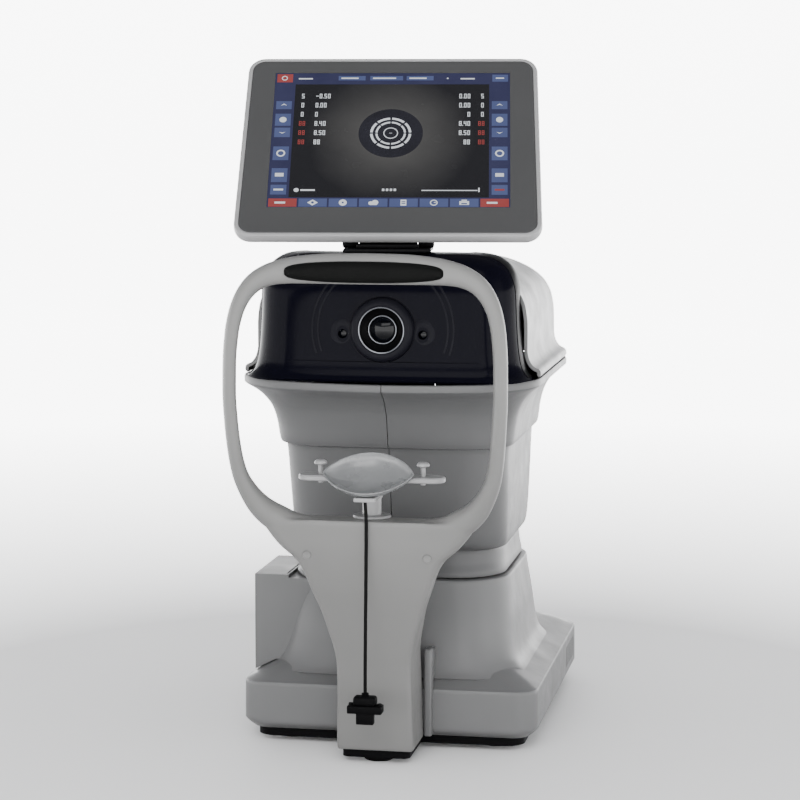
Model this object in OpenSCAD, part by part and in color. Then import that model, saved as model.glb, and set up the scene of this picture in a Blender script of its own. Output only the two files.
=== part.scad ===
/* [Base] */
// Width of the base cover
base_w = 264; // [258:1:272]
// Height of the top edge of the base cover's upright band
band_top = 55; // [50:1:56]
// Height at which the sloping ledge meets the turret cover
ledge_top = 70; // [69:1:71]
// Corner radius of the base cover seen from above
base_corner = 22; // [16:1:28]

/* [Turret] */
// Height of the turret cover's top deck
deck_z = 145; // [144:0.5:146]
// Half width of the turret cover at its top
turret_top_hw = 98; // [94:1:99]
// Half width of the turret cover at its foot
turret_foot_hw = 110; // [106:1:114]

/* [Head] */
// Height of the lower edge of the measuring head
head_bottom = 171; // [170:0.5:174]
// Height of the brim that runs round the head
brim_z = 325; // [322:1:328]
// Half width of the head at its brim
brim_hw = 132; // [128:1:133]
// Height of the centre of the measuring window
lens_z = 372; // [368:1:376]
// Diameter of the measuring window's outer ring
lens_ring_d = 40; // [36:1:44]

/* [Screen] */
// Angle between the screen and the vertical
screen_tilt = 42.5; // [36:0.5:46]
// Width of the screen housing
screen_w = 268; // [262:1:276]
// Height of the screen housing along its face
screen_h = 210; // [204:1:212]

/* [Headrest] */
// Width of the headrest column at its foot
column_w = 67; // [60:1:72]
// Height of the chin rest's plate above the table
plate_z = 248.5; // [247:0.5:250]

/* [Travel] */
// Fore and aft travel each way that the insides leave room for
fore_aft_travel = 20; // [10:1:20]
// Sideways travel each way that the insides leave room for
side_travel = 35; // [20:1:35]

/* [Hidden] */
$fn = 48;

// Everything is laid out from the front face of the headrest column at y = 0,
// and then moved so that the origin is under the middle of the whole object, turned screen and all.
home_y = -162;
home_x = 8.61;
base_front = 55;
base_rear = 375;
wall = 2.5;
// Centre of the lifting column and of the turret around it
axis_y = 192;
pin_d = 4;
fit = 0.1;

module place() { translate([home_x, home_y, 0]) children(); }

// Rounded rectangle outline centred on x, from y0 to y1, with n points a corner.
function corner(cx, cy, r, a0, n) =
    [for (i = [0:n]) [cx + r * cos(a0 + 90 * i / n), cy + r * sin(a0 + 90 * i / n)]];
function outline(hw, y0, y1, r, n = 5) = concat(
    corner(hw - r, y1 - r, r, 0, n), corner(-hw + r, y1 - r, r, 90, n),
    corner(-hw + r, y0 + r, r, 180, n), corner(hw - r, y0 + r, r, 270, n));
// One level of a loft: [z, half width, front y, rear y, corner radius]
function level(s) = [for (p = outline(s[1], s[2], s[3], s[4])) [p[0], p[1], s[0]]];

// Solid through a list of levels, lowest first.
module loft(levels) {
    n = len(level(levels[0]));
    m = len(levels);
    points = [for (s = levels) each level(s)];
    sides = [for (k = [0:m - 2], i = [0:n - 1])
        [k * n + i, (k + 1) * n + i, (k + 1) * n + (i + 1) % n, k * n + (i + 1) % n]];
    polyhedron(points, concat([[for (i = [0:n - 1]) i]],
        [[for (i = [n - 1:-1:0]) (m - 1) * n + i]], sides), convexity = 6);
}
module round_plate(hw, y0, y1, r, h) {
    linear_extrude(h) polygon(outline(hw, y0, y1, r, 8));
}
module rod(d, p, axis, h) {
    translate(p) rotate(axis == "x" ? [0, 90, 0] : axis == "y" ? [-90, 0, 0] : [0, 0, 0])
        cylinder(d = d, h = h);
}
module box(x0, x1, y0, y1, z0, z1) {
    translate([x0, y0, z0]) cube([x1 - x0, y1 - y0, z1 - z0]);
}

// ---- Base -------------------------------------------------------------
tray_hw = base_w / 2 - 12;
foot_spots = [[-92, 92], [92, 92], [-92, 340], [92, 340], [0, 22]];

module base_tray() {
    color([0.06, 0.06, 0.07]) place() difference() {
        union() {
            translate([0, 0, 5]) round_plate(tray_hw, base_front + 8, base_rear - 10, 16, 6.5);
            translate([0, 0, 5]) round_plate(column_w / 2 - 4, 4, base_front + 30, 6, 6.5);
        }
        for (p = foot_spots) translate([p[0], p[1], 4]) cylinder(d = 6.2, h = 9);
        for (x = [-80:16:80]) translate([x, 330, 4]) cylinder(d = 5, h = 9);
    }
}
module rubber_feet() {
    color([0.09, 0.09, 0.09]) place() for (p = foot_spots) translate([p[0], p[1], 0]) {
        cylinder(d = 26, h = 5);
        cylinder(d = 6, h = 11);
    }
}
// Shell of the lower case: an upright band, then a ledge that slopes up to the turret
ledge_run = 30;
cover_levels = [
    [12, base_w / 2 - 7, base_front + 7, base_rear - 5, base_corner - 6],
    [19, base_w / 2, base_front, base_rear, base_corner],
    [band_top, base_w / 2, base_front, base_rear, base_corner],
    [ledge_top, base_w / 2 - ledge_run, base_front + ledge_run, base_rear - ledge_run, base_corner - 4]];
ledge_opening = base_w / 2 - ledge_run - 6;
turret_front = 91;
turret_rear = 304;
module base_cover() {
    color([0.55, 0.55, 0.56]) place() difference() {
        loft(cover_levels);
        loft([[11, tray_hw + 1, base_front + 7.5, base_rear - 9, 16],
            [20, base_w / 2 - wall, base_front + wall, base_rear - wall, base_corner - wall],
            [band_top - 1, base_w / 2 - wall, base_front + wall, base_rear - wall, base_corner - wall],
            [ledge_top - 3, ledge_opening + 4, base_front + ledge_run + 3, base_rear - ledge_run - 3, 16]]);
        translate([0, 0, 40]) round_plate(ledge_opening, turret_front, turret_rear, 14, 40);
        box(-column_w / 2 + 6, column_w / 2 - 6, base_front - 5, base_front + 8, 15, 40);
        box(-100, -62, base_rear - 10, base_rear + 5, 22, 50);
        box(20, 104, base_rear - 10, base_rear + 5, 22, 44);
        box(-51, -29, base_rear - 10, base_rear + 5, 26, 44);
        box(-132.5, -70, bay_y0, bay_y1, 66, 80);
    }
}
turret_levels = [
    [ledge_top - 6, turret_foot_hw, 71, 312, 38],
    [ledge_top + 8, turret_foot_hw - 5, 77, 306, 38],
    [110, turret_foot_hw - 8, 87, 299, 38],
    [deck_z - 3, turret_top_hw, 95, 291, 38],
    [deck_z, turret_top_hw - 1.5, 96.5, 289.5, 37]];
deck_hx = side_travel + 26.5;
deck_hy = fore_aft_travel + 25;
module turret_cover() {
    color([0.6, 0.6, 0.61]) place() difference() {
        loft(turret_levels);
        loft([[ledge_top - 7, turret_foot_hw - wall, 71 + wall, 312 - wall, 36],
            [ledge_top + 8, turret_foot_hw - 5 - wall, 77 + wall, 306 - wall, 36],
            [110, turret_foot_hw - 8 - wall, 87 + wall, 299 - wall, 36],
            [deck_z - 3, turret_top_hw - wall, 95 + wall, 291 - wall, 36]]);
        box(-deck_hx, deck_hx, axis_y - deck_hy, axis_y + deck_hy, deck_z - 10, deck_z + 5);
        box(-140, -70, bay_y0 - 0.5, bay_y1 + 0.5, 60, deck_z - 3.5);
        // The ledge of the base cover passes under the foot
        difference() {
            translate([-150, 40, ledge_top - 8]) cube([300, 300, 8.2]);
            round_plate(ledge_opening - 0.3, turret_front + 0.3, turret_rear - 0.3, 14, 100);
        }
    }
}

// ---- Printer ----------------------------------------------------------
bay_y0 = 99;
bay_y1 = 192;
bay_x0 = -129;
bay_x1 = -73;
bay_top = 144;
roll_x = -101.5;
roll_z = 98;
door_x = -125.5;
door_z = 75;
platen_x = -104.5;
platen_z = 131;

module printer_housing() {
    color([0.57, 0.57, 0.58]) place() difference() {
        translate([0, bay_y1, 0]) rotate([90, 0, 0]) linear_extrude(bay_y1 - bay_y0)
            polygon([[bay_x0, 56.9], [bay_x0, bay_top], [-98, bay_top], [-98, deck_z - 4],
                [bay_x1, deck_z - 4], [bay_x1, 66.4], [-110, 66.4]]);
        box(-140, bay_x1 - wall, bay_y0 + 3, bay_y1 - 3, 70.9, deck_z - 6.5);
        box(-140, -99.5, bay_y0 + 3, bay_y1 - 3, 70.9, deck_z + 5);
        rod(3.02, [door_x, bay_y0 + 1, door_z], "y", 91);
        rod(9.02, [roll_x, bay_y0 + 1, roll_z], "y", 91);
    }
}
module printer_door() {
    color([0.58, 0.58, 0.59]) place() {
        y0 = bay_y0 + 3.6;
        y1 = bay_y1 - 3.6;
        difference() {
            union() {
                box(bay_x0, bay_x0 + wall, y0, y1, door_z, bay_top);
                box(bay_x0, -101, y0, y1, bay_top - wall, bay_top);
                rod(6, [door_x, y0, door_z], "y", y1 - y0);
                box(bay_x0, door_x, y0, y1, door_z - 2, door_z + 3);
                for (y = [y0, y1 - 3]) box(bay_x0, platen_x + 4.5, y, y + 3, platen_z - 5, bay_top);
            }
            rod(3.14, [door_x, y0 - 1, door_z], "y", y1 - y0 + 2);
            rod(4.02, [platen_x, y0 - 1, platen_z], "y", y1 - y0 + 2);
        }
    }
}
module door_pin() {
    color([0.7, 0.7, 0.72]) place() rod(3, [door_x, bay_y0 + 1, door_z], "y", 91);
}
module paper_roll() {
    color([0.95, 0.95, 0.93]) place() difference() {
        rod(42, [roll_x, bay_y0 + 17.5, roll_z], "y", 58);
        rod(12.1, [roll_x, bay_y0 + 17, roll_z], "y", 59);
    }
}
module roll_spindle() {
    color([0.15, 0.15, 0.16]) place() {
        rod(9, [roll_x, bay_y0 + 1, roll_z], "y", 91);
        rod(12, [roll_x, bay_y0 + 16.5, roll_z], "y", 60);
        for (y = [bay_y0 + 14, bay_y0 + 76.3]) rod(26, [roll_x, y, roll_z], "y", 2.7);
    }
}
module platen_roller() {
    color([0.12, 0.12, 0.12]) place() {
        rod(9, [platen_x, bay_y0 + 11, platen_z], "y", 71);
        rod(3.9, [platen_x, bay_y0 + 4, platen_z], "y", 85);
    }
}
module print_head() {
    color([0.25, 0.25, 0.27]) place() {
        box(-98.5, -93, bay_y0 + 12, bay_y0 + 81, 120, deck_z - 6.6);
        box(-99.6, -98.4, bay_y0 + 14, bay_y0 + 79, 127, 135);
    }
}

// ---- Electronics ------------------------------------------------------
module mainboard() {
    color([0.05, 0.3, 0.15]) place() {
        box(-24, 108, 316, 366, 15, 16.6);
        for (x = [-10, 96]) translate([x, 322, 11.5]) cylinder(d = 6, h = 3.6);
        box(0, 22, 330, 352, 16.5, 19);
        box(34, 48, 328, 342, 16.5, 18.5);
        for (x = [60:10:90]) translate([x, 334, 16.5]) cylinder(d = 8, h = 11);
        box(56, 92, 344, 350, 16.5, 24);
    }
}
module power_supply() {
    color([0.7, 0.71, 0.73]) place() difference() {
        box(-112, -56, 316, 352, 11.6, 46);
        for (x = [-106:6:-62], y = [322:6:346]) translate([x, y, 43]) cylinder(d = 3.4, h = 5);
    }
}
module power_inlet() {
    color([0.05, 0.05, 0.05]) place() difference() {
        union() {
            box(-103, -59, base_rear + 0.02, base_rear + 2.4, 20, 52);
            box(-96, -66, base_rear - 18, base_rear + 1, 24, 48);
        }
        box(-93, -69, base_rear - 12, base_rear + 5, 28, 44);
    }
}
module power_switch() {
    color([0.1, 0.1, 0.1]) place() translate([-40, base_rear - 1, 35]) {
        rotate([0, 90, 0]) translate([0, 0, -8]) cylinder(r = 5.5, h = 16);
        rotate([8, 0, 0]) box(-8, 8, -1, 3, -7.6, 7.6);
    }
}
module io_panel() {
    color([0.62, 0.62, 0.64]) place() difference() {
        union() {
            box(17, 107, base_rear, base_rear + 1.5, 19, 47);
            box(22, 102, base_rear - 12, base_rear, 23.5, 43);
        }
        box(28, 43, base_rear - 8, base_rear + 5, 26, 39);
        for (x = [50, 66]) box(x, x + 7, base_rear - 8, base_rear + 5, 26, 39.5);
        box(80, 97, base_rear - 6, base_rear + 5, 28, 37);
    }
}

// ---- Three-way stage --------------------------------------------------
rail_d = 10;
y_rail_x = 62;
y_rail_z = 26;
x_rail_y = [axis_y - 36, axis_y + 36];
x_rail_z = 51;
column_hw = 22;
module y_rails() {
    color([0.78, 0.79, 0.8]) place() for (s = [-1, 1]) {
        rod(rail_d, [s * y_rail_x, 92, y_rail_z], "y", 208);
        for (y = [92, 290]) difference() {
            box(s * y_rail_x - 11, s * y_rail_x + 11, y, y + 10, 11.5, y_rail_z + 9);
            rod(rail_d - 0.02, [s * y_rail_x, y - 1, y_rail_z], "y", 12);
        }
    }
}
module y_carriage() {
    color([0.45, 0.46, 0.48]) place() {
        difference() {
            box(-84, 84, axis_y - 60, axis_y + 60, 36, 41);
            box(-30, 30, axis_y - 26, axis_y + 26, 30, 50);
        }
        for (s = [-1, 1], y = [axis_y - 58, axis_y + 34]) difference() {
            box(s * y_rail_x - 11, s * y_rail_x + 11, y, y + 24, 16, 36);
            rod(rail_d + fit, [s * y_rail_x, y - 1, y_rail_z], "y", 26);
        }
        difference() {
            box(-8, 8, axis_y - 44, axis_y - 30, 15, 36);
            rod(6.3, [0, axis_y - 50, y_rail_z - 4], "y", 30);
        }
        for (s = [-1, 1], y = x_rail_y) difference() {
            box(s * 80 - 5, s * 80 + 5, y - 9, y + 9, 41, x_rail_z + 8);
            rod(rail_d + 0.02, [s * 80 - 6, y, x_rail_z], "x", 12);
        }
    }
}
module y_motor() {
    color([0.2, 0.2, 0.21]) place() {
        box(-18, 18, 246, 282, 11.6, 31);
        rod(6, [0, 110, y_rail_z - 4], "y", 137);
    }
}
module x_rails() {
    color([0.78, 0.79, 0.8]) place() for (y = x_rail_y) rod(rail_d, [-84, y, x_rail_z], "x", 168);
}
module x_carriage() {
    color([0.45, 0.46, 0.48]) place() {
        box(-34, 34, axis_y - 50, axis_y + 50, 61, 68);
        difference() {
            box(-6, 6, axis_y - 8, axis_y + 8, 43, 61);
            rod(6.3, [-10, axis_y, x_rail_z - 2], "x", 20);
        }
        for (s = [-1, 1], y = x_rail_y) difference() {
            box(s * 22 - 11, s * 22 + 11, y - 10, y + 10, 42, 61);
            rod(rail_d + fit, [s * 22 - 12, y, x_rail_z], "x", 24);
        }
    }
}
module x_motor() {
    color([0.2, 0.2, 0.21]) place() {
        box(42, 76, axis_y - 17, axis_y + 17, 41, 60);
        rod(6, [-60, axis_y, x_rail_z - 2], "x", 103);
        box(-66, -60, axis_y - 8, axis_y + 8, 41, 57);
    }
}
module z_column() {
    color([0.5, 0.51, 0.53]) place() difference() {
        box(-column_hw, column_hw, axis_y - column_hw, axis_y + column_hw, 68, 226);
        box(-column_hw + 4, column_hw - 4, axis_y - column_hw + 4, axis_y + column_hw - 4, 100, 230);
        translate([0, axis_y, 60]) cylinder(d = 10, h = 60);
    }
}
module z_motor() {
    color([0.2, 0.2, 0.21]) place() {
        translate([0, axis_y, 100]) cylinder(d = 34, h = 32);
    }
}
module z_screw() {
    color([0.8, 0.8, 0.82]) place() {
        translate([0, axis_y, 132.2]) cylinder(d = 8, h = 144);
        translate([0, axis_y, 132.2]) cylinder(d = 14, h = 4);
    }
}
collar_gap = 1.4;
collar_levels = [
    [deck_z + collar_gap, turret_top_hw - 4, 98, 288, 37],
    [head_bottom, 91, 102, 284, 35],
    [head_bottom + 1, 88, 104, 282, 34],
    [203, 88, 104, 282, 34]];
module turret_collar() {
    color([0.5, 0.5, 0.51]) place() difference() {
        loft(collar_levels);
        loft([[deck_z + collar_gap + 3, 86, 106, 280, 32], [204, 86, 106, 280, 32]]);
        box(-column_hw, column_hw, axis_y - column_hw, axis_y + column_hw, 140, 160);
    }
}

// ---- Measuring head ---------------------------------------------------
sleeve = column_hw + 0.4;
module head_chassis() {
    color([0.5, 0.51, 0.53]) place() difference() {
        union() {
            box(-32, 32, axis_y - 32, axis_y + 32, 178, 246);
            box(-84, 84, 90, 286, 240, 246);
            for (s = [-1, 1]) box(s * 84 - 6, s * 84 + 6, 110, 270, 240, 320);
            box(-90, 90, 120, 260, 318, 322);
        }
        box(-sleeve, sleeve, axis_y - sleeve, axis_y + sleeve, 170, 240.1);
        translate([0, axis_y, 235]) cylinder(d = 8.16, h = 20);
        box(-60, 60, 204, 250, 310, 330);
    }
}
// Levels of the head's lower shell up to the brim
head_levels = [
    [head_bottom, 95.5, 96, 290, 36],
    [head_bottom + 10, 97, 88, 296, 37],
    [210, 98, 82, 300, 38],
    [264, 100, 70, 304, 38],
    [267, 105, 66, 308, 40],
    [298, 111, 58, 310, 41],
    [312, 119, 46, 312, 42],
    [320, 129, 36, 314, 48],
    [brim_z, brim_hw, 33, 315, 50],
    [brim_z + 3, brim_hw, 33, 315, 50]];
module head_shell() {
    difference() {
        loft(head_levels);
        loft([[head_bottom - 1, 93, 98.5, 287.5, 34],
            [head_bottom + 10, 94.5, 90.5, 293.5, 35],
            [264, 97.5, 72.5, 301.5, 36],
            [298, 108, 61, 307, 39],
            [312, 115, 50, 309, 40],
            [brim_z + 4, 125, 42, 310, 46]]);
    }
}
module head_cover_left() {
    color([0.55, 0.55, 0.56]) place() intersection() {
        head_shell();
        box(-200, -0.2, 0, 400, 150, 400);
    }
}
module head_cover_right() {
    color([0.55, 0.55, 0.56]) place() intersection() {
        head_shell();
        box(0.2, 200, 0, 400, 150, 400);
    }
}
mask_rear = 76;
top_levels = [
    [brim_z + 3.2, 130.6, mask_rear, 314, 48],
    [331.5, 131.5, mask_rear, 315, 48],
    [335, 130.6, mask_rear, 314.4, 48],
    [338, 126, mask_rear, 312, 44],
    [343, 122.4, mask_rear, 310, 42],
    [352, 121, mask_rear, 308, 40],
    [384, 119, mask_rear, 300, 38],
    [404, 112, mask_rear, 286, 36],
    [416, 98, mask_rear, 268, 34],
    [424, 78, mask_rear, 244, 30],
    [429, 58, mask_rear, 222, 26]];
// The mask fills the front, so the cover's front is cut off square
module head_top_cover() {
    color([0.86, 0.86, 0.87]) place() difference() {
        loft([for (s = top_levels) [s[0], s[1], s[2] - 40, s[3], s[4]]]);
        loft([for (s = top_levels) [s[0] - 3, s[1] - 3, s[2] - 60, s[3] - 3, s[4] - 2]]);
        translate([swivel_x, swivel_y, 410]) cylinder(d = 20.4, h = 40);
        box(-200, 200, 0, mask_rear + 0.2, 300, 500);
    }
}
mask_levels = [
    [brim_z + 3.2, 127, 34, 110, 34],
    [334, 120, 37, 110, 32],
    [350, 116, 39, 110, 30],
    [380, 113.5, 41, 110, 30],
    [408, 113, 43, 110, 30],
    [424, 107, 47, 110, 28],
    [433, 96, 53, 110, 24],
    [437, 80, 60, 110, 18]];
module front_mask() {
    color([0.05, 0.05, 0.06]) place() difference() {
        loft(mask_levels);
        loft([for (s = mask_levels) [s[0] - 3, s[1] - 3, s[2] + 3, s[3] + 5, s[4] - 3]]);
        box(-200, 200, mask_rear, 140, 300, 500);
        rod(56.6, [0, 20, lens_z], "y", 55);
        for (s = [-1, 1]) rod(8, [s * 35, 20, lens_z - 4], "y", 55);
    }
}
module lens_bezel() {
    color([0.07, 0.07, 0.08]) place() translate([0, 31, lens_z]) rotate([-90, 0, 0])
        rotate_extrude() polygon([[lens_ring_d / 2 + 0.1, 0.5], [24, 0], [27, 3], [28, 8], [28, 14],
            [lens_ring_d / 2 + 0.1, 14]]);
}
module mire_ring() {
    color([0.62, 0.64, 0.66]) place() translate([0, 31, lens_z]) rotate([-90, 0, 0])
        rotate_extrude() polygon([[lens_ring_d / 2, 1], [lens_ring_d / 2, 14], [12.1, 14], [12.1, 9],
            [16, 8], [18, 1]]);
}
module objective_lens() {
    color([0.2, 0.25, 0.3]) place() translate([0, 31, lens_z]) rotate([-90, 0, 0])
        rotate_extrude() polygon([[0, 7], [6, 7.6], [12, 9.4], [12, 13], [0, 15]]);
}
module sensor_windows() {
    color([0.1, 0.1, 0.12]) place() for (s = [-1, 1]) translate([s * 35, 41, lens_z - 4])
        rotate([-90, 0, 0]) {
            cylinder(d = 7.8, h = 6);
            translate([0, 0, 6]) cylinder(d = 11, h = 10);
        }
}
module optical_tube() {
    color([0.14, 0.14, 0.15]) place() difference() {
        union() {
            rod(50, [0, 45.2, lens_z], "y", 85);
            box(-34, 34, 129, 200, lens_z - 34, lens_z + 34);
            box(-14, 14, 140, 190, 322, lens_z - 30);
        }
        rod(42, [0, 44, lens_z], "y", 92);
        box(-28, 28, 133, 194, lens_z - 28, lens_z + 28);
        rod(30, [0, 190, lens_z], "y", 20);
        rod(24, [20, 160, lens_z], "x", 20);
    }
}
module beam_splitter() {
    color([0.6, 0.7, 0.75]) place() translate([0, 160, lens_z]) rotate([0, 0, 45])
        box(-30, 30, -1.2, 1.2, -27.9, 27.9);
}
module camera_module() {
    color([0.16, 0.3, 0.2]) place() {
        rod(29.8, [0, 200.1, lens_z], "y", 22);
        box(-22, 22, 222, 226, lens_z - 22, lens_z + 22);
    }
}
module fixation_unit() {
    color([0.16, 0.16, 0.17]) place() {
        rod(23.8, [34.1, 160, lens_z], "x", 36);
        box(70, 74, 142, 178, lens_z - 18, lens_z + 18);
    }
}
swivel_x = -4;
swivel_y = 88;
module swivel_base() {
    color([0.6, 0.6, 0.62]) place() difference() {
        union() {
            translate([swivel_x, swivel_y, 429.1]) cylinder(d = 60, h = 8.2);
            translate([swivel_x, swivel_y, 420]) cylinder(d = 20, h = 12);
        }
        translate([swivel_x, swivel_y, 410]) cylinder(d = 12, h = 40);
        box(-100, 100, 0, mask_rear + 0.4, 429, 450);
    }
}

// ---- Screen -----------------------------------------------------------
pivot_y = 84;
pivot_z = 449.5;
// The screen stands turned a little towards one side on its swivel
home_turn = 8.5;
module turned() {
    translate([swivel_x, swivel_y, 0]) rotate([0, 0, home_turn]) translate([0, -swivel_y, 0]) children();
}
module swivel_block() {
    color([0.09, 0.09, 0.1]) place() turned() difference() {
        union() {
            translate([0, swivel_y, 437.6]) cylinder(d = 78, h = 3);
            translate([0, swivel_y, 418]) cylinder(d = 11.9, h = 22);
            box(-38, 38, 48, swivel_y, 437.6, 440.6);
            for (s = [-1, 1]) box(s * 33 - 7, s * 33 + 7, pivot_y - 7, pivot_y + 7, 440, pivot_z + 6);
        }
        rod(pin_d + 0.02, [-50, pivot_y, pivot_z], "x", 100);
    }
}
module hinge_pin() {
    color([0.7, 0.7, 0.72]) place() turned() rod(pin_d, [-40, pivot_y, pivot_z], "x", 80);
}
// Screen pieces are drawn lying flat, face down on z = 0 with the lower edge at y = 0,
// then stood up and leaned back about the lower edge of the face.
face_y = 54;
face_z = 451.3;
shell_t = 24;
edge_t = 12;
// The housing is this much narrower at its top
taper = 6;
module lean() {
    translate([0, face_y, face_z]) rotate([90 - screen_tilt, 0, 0]) children();
}
module rounded_slab(w0, w1, h, r, t) {
    linear_extrude(t) hull() {
        for (s = [-1, 1]) {
            translate([s * (w0 / 2 - r), r]) circle(r, $fn = 32);
            translate([s * (w1 / 2 - r), h - r]) circle(r, $fn = 32);
        }
    }
}
module screen_back() {
    color([0.72, 0.72, 0.73]) place() turned() {
        lean() difference() {
            union() {
                translate([0, 0, -edge_t]) rounded_slab(screen_w, screen_w - taper, screen_h, 16, edge_t);
                hull() {
                    translate([0, 22, -edge_t]) rounded_slab(190, 180, 160, 14, 1);
                    translate([0, 36, -shell_t]) rounded_slab(160, 150, 130, 10, 1);
                }
            }
            translate([0, 4, -edge_t + 2.5])
                rounded_slab(screen_w - 8, screen_w - 8 - taper, screen_h - 8, 13, 40);
            translate([0, 40, -shell_t + 3]) rounded_slab(150, 140, 122, 8, 40);
        }
        difference() {
            union() {
                rod(14, [-25.6, pivot_y, pivot_z], "x", 51.2);
                translate([-20, pivot_y - 5, pivot_z]) cube([40, 10, 24]);
            }
            rod(pin_d + fit, [-50, pivot_y, pivot_z], "x", 100);
            lean() translate([0, -20, -edge_t + 1]) rounded_slab(400, 400, 400, 2, 60);
            lean() translate([0, 36, -shell_t + 1]) rounded_slab(160, 150, 130, 10, 60);
        }
    }
}
module screen_bezel() {
    color([0.32, 0.33, 0.34]) place() turned() lean() difference() {
        translate([0, 4.2, -4])
            rounded_slab(screen_w - 8.4, screen_w - 8.4 - taper, screen_h - 8.4, 13, 4);
        translate([-106, 32.5, -10]) cube([212, 159, 20]);
    }
}
module display_panel() {
    color([0.1, 0.12, 0.25]) place() turned() lean() translate([-110, 28, -9.4]) cube([220, 168, 5.3]);
}
module touch_glass() {
    color([0.12, 0.14, 0.3]) place() turned() lean() translate([-105.9, 32.6, -4]) cube([211.8, 158.8, 3]);
}

// ---- Headrest ---------------------------------------------------------
column_hw0 = column_w / 2;
// Front and rear faces of the column lean forward as they rise: [z, half width, front y, rear y]
column_steps = [
    [11.6, column_hw0, 0, 54.5, 8], [60, column_hw0 - 1, -4, 54.5, 8], [92, column_hw0 - 1.5, -8, 46, 8],
    [116, 37.8, -14, 34, 9], [135, 42.4, -20, 20, 9], [154, 50, -26, 8, 9], [173, 57, -30, 2, 9],
    [188, 69, -33, 0, 9], [195, 79, -34, -2, 9], [206, 87, -35, -6, 9], [217, 92, -36, -8, 9]];
module headrest_column() {
    color([0.63, 0.62, 0.6]) place() difference() {
        loft(column_steps);
        // Hollow behind, so that the front is a shell
        loft([[20, column_hw0 - 3, 4, 60, 6], [60, column_hw0 - 4, 0, 60, 6], [92, column_hw0 - 5, -4, 52, 6],
            [135, 38, -16, 30, 6], [173, 50, -25, 12, 6], [200, 60, -28, 10, 6]]);
        translate([0, post_y, 190]) cylinder(d = 16.6, h = 40);
        for (s = [-1, 1]) rod(5.4, [s * 51.5, -40, 187], "y", 30);
        for (s = [-1, 1]) rod(8.2, [s * 51.5, -40, 187], "y", 7.8);
    }
}
module column_back() {
    color([0.6, 0.6, 0.6]) place() difference() {
        loft([[20.5, column_hw0 - 3.6, 42, 54, 4], [60, column_hw0 - 4.6, 42, 54, 4],
            [90, column_hw0 - 5.6, 36, 45, 4]]);
        loft([[15, column_hw0 - 6, 30, 51, 3], [60, column_hw0 - 7, 30, 51, 3], [86, column_hw0 - 8, 30, 42, 3]]);
        for (z = [30:6:66]) box(-16, 16, 48, 60, z, z + 2.4);
    }
}
// Centre line of one side of the arch: [x, y, z, width, depth], from the foot upwards
arm_steps = [
    [66, -20, 204, 26, 24], [84, -23, 217, 25, 25], [97, -29, 232, 18, 24], [107, -36, 252, 13, 22],
    [112.5, -42, 285, 12, 20],
    [114.5, -45, 320, 12, 20], [114, -44, 360, 12, 20], [112, -42, 388, 13, 20], [105.5, -40, 408, 15, 20],
    [94, -38, 421, 17, 20], [78, -36.5, 426.5, 19, 20], [58, -35.5, 428.5, 22, 20], [30, -35, 429, 25, 20],
    [0, -35, 429, 26, 20]];
ring_n = 16;
pad_back = -42.5;
// Oval section across the centre line, leaning in towards the middle
function direction(k, path) = let (a = path[max(k - 1, 0)], b = path[min(k + 1, len(path) - 1)])
    [b[0] - a[0], b[2] - a[2]] / norm([b[0] - a[0], b[2] - a[2]]);
function arm_ring(k, path) = let (p = path[k], d = direction(k, path))
    [for (i = [0:ring_n - 1]) let (u = p[3] / 2 * cos(360 * i / ring_n), v = p[4] / 2 * sin(360 * i / ring_n))
        [p[0] + u * d[1], p[1] + v, p[2] - u * d[0]]];
function mirrored(path) = [for (i = [len(path) - 2:-1:0]) let (p = path[i]) [-p[0], p[1], p[2], p[3], p[4]]];
module tube_through(path) {
    m = len(path);
    points = [for (k = [0:m - 1]) each arm_ring(k, path)];
    sides = [for (k = [0:m - 2], i = [0:ring_n - 1])
        [k * ring_n + i, (k + 1) * ring_n + i, (k + 1) * ring_n + (i + 1) % ring_n, k * ring_n + (i + 1) % ring_n]];
    polyhedron(points, concat([[for (i = [0:ring_n - 1]) i]],
        [[for (i = [ring_n - 1:-1:0]) (m - 1) * ring_n + i]], sides), convexity = 6);
}
module headrest_frame() {
    color([0.72, 0.72, 0.73]) place() difference() {
        tube_through(concat(arm_steps, mirrored(arm_steps)));
        box(-200, 200, -100, 50, 180, 217.1);
        box(-68, 68, -60, pad_back, 400, 450);
    }
}
module forehead_pad() {
    color([0.13, 0.13, 0.13]) place() translate([0, pad_back - 0.1, 426.6]) hull() {
        for (s = [-1, 1]) {
            translate([s * 58, 0, 0]) rotate([90, 0, 0]) cylinder(d = 17.6, h = 5, $fn = 32);
            translate([s * 46, 0, 0]) rotate([90, 0, 0]) cylinder(d = 13, h = 9, $fn = 32);
        }
    }
}
module screw_caps() {
    color([0.3, 0.3, 0.3]) place() for (s = [-1, 1]) {
        rod(5.2, [s * 51.5, -33, 187], "y", 12);
        rod(8, [s * 51.5, -34.6, 187], "y", 2.2);
    }
}

// ---- Chin rest --------------------------------------------------------
post_y = -9;
post_d = 16;
cup_y = -26;
cup_z = 257;
cup_tilt = 34;
module post_flange() {
    color([0.5, 0.5, 0.51]) place() difference() {
        translate([0, post_y, 217.1]) cylinder(d = 32, h = 2.6);
        translate([0, post_y, 210]) cylinder(d = post_d + fit, h = 12);
    }
}
module chin_motor() {
    color([0.2, 0.2, 0.21]) place() {
        translate([0, post_y + 24, 60]) cylinder(d = 28, h = 40);
        translate([0, post_y + 24, 100]) cylinder(d = 5, h = 18);
    }
}
module chin_post() {
    color([0.82, 0.82, 0.83]) place() {
        translate([0, post_y, 160]) cylinder(d = post_d, h = 74);
        translate([0, post_y, 234]) cylinder(d = 18, h = 2.4);
    }
}
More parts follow.
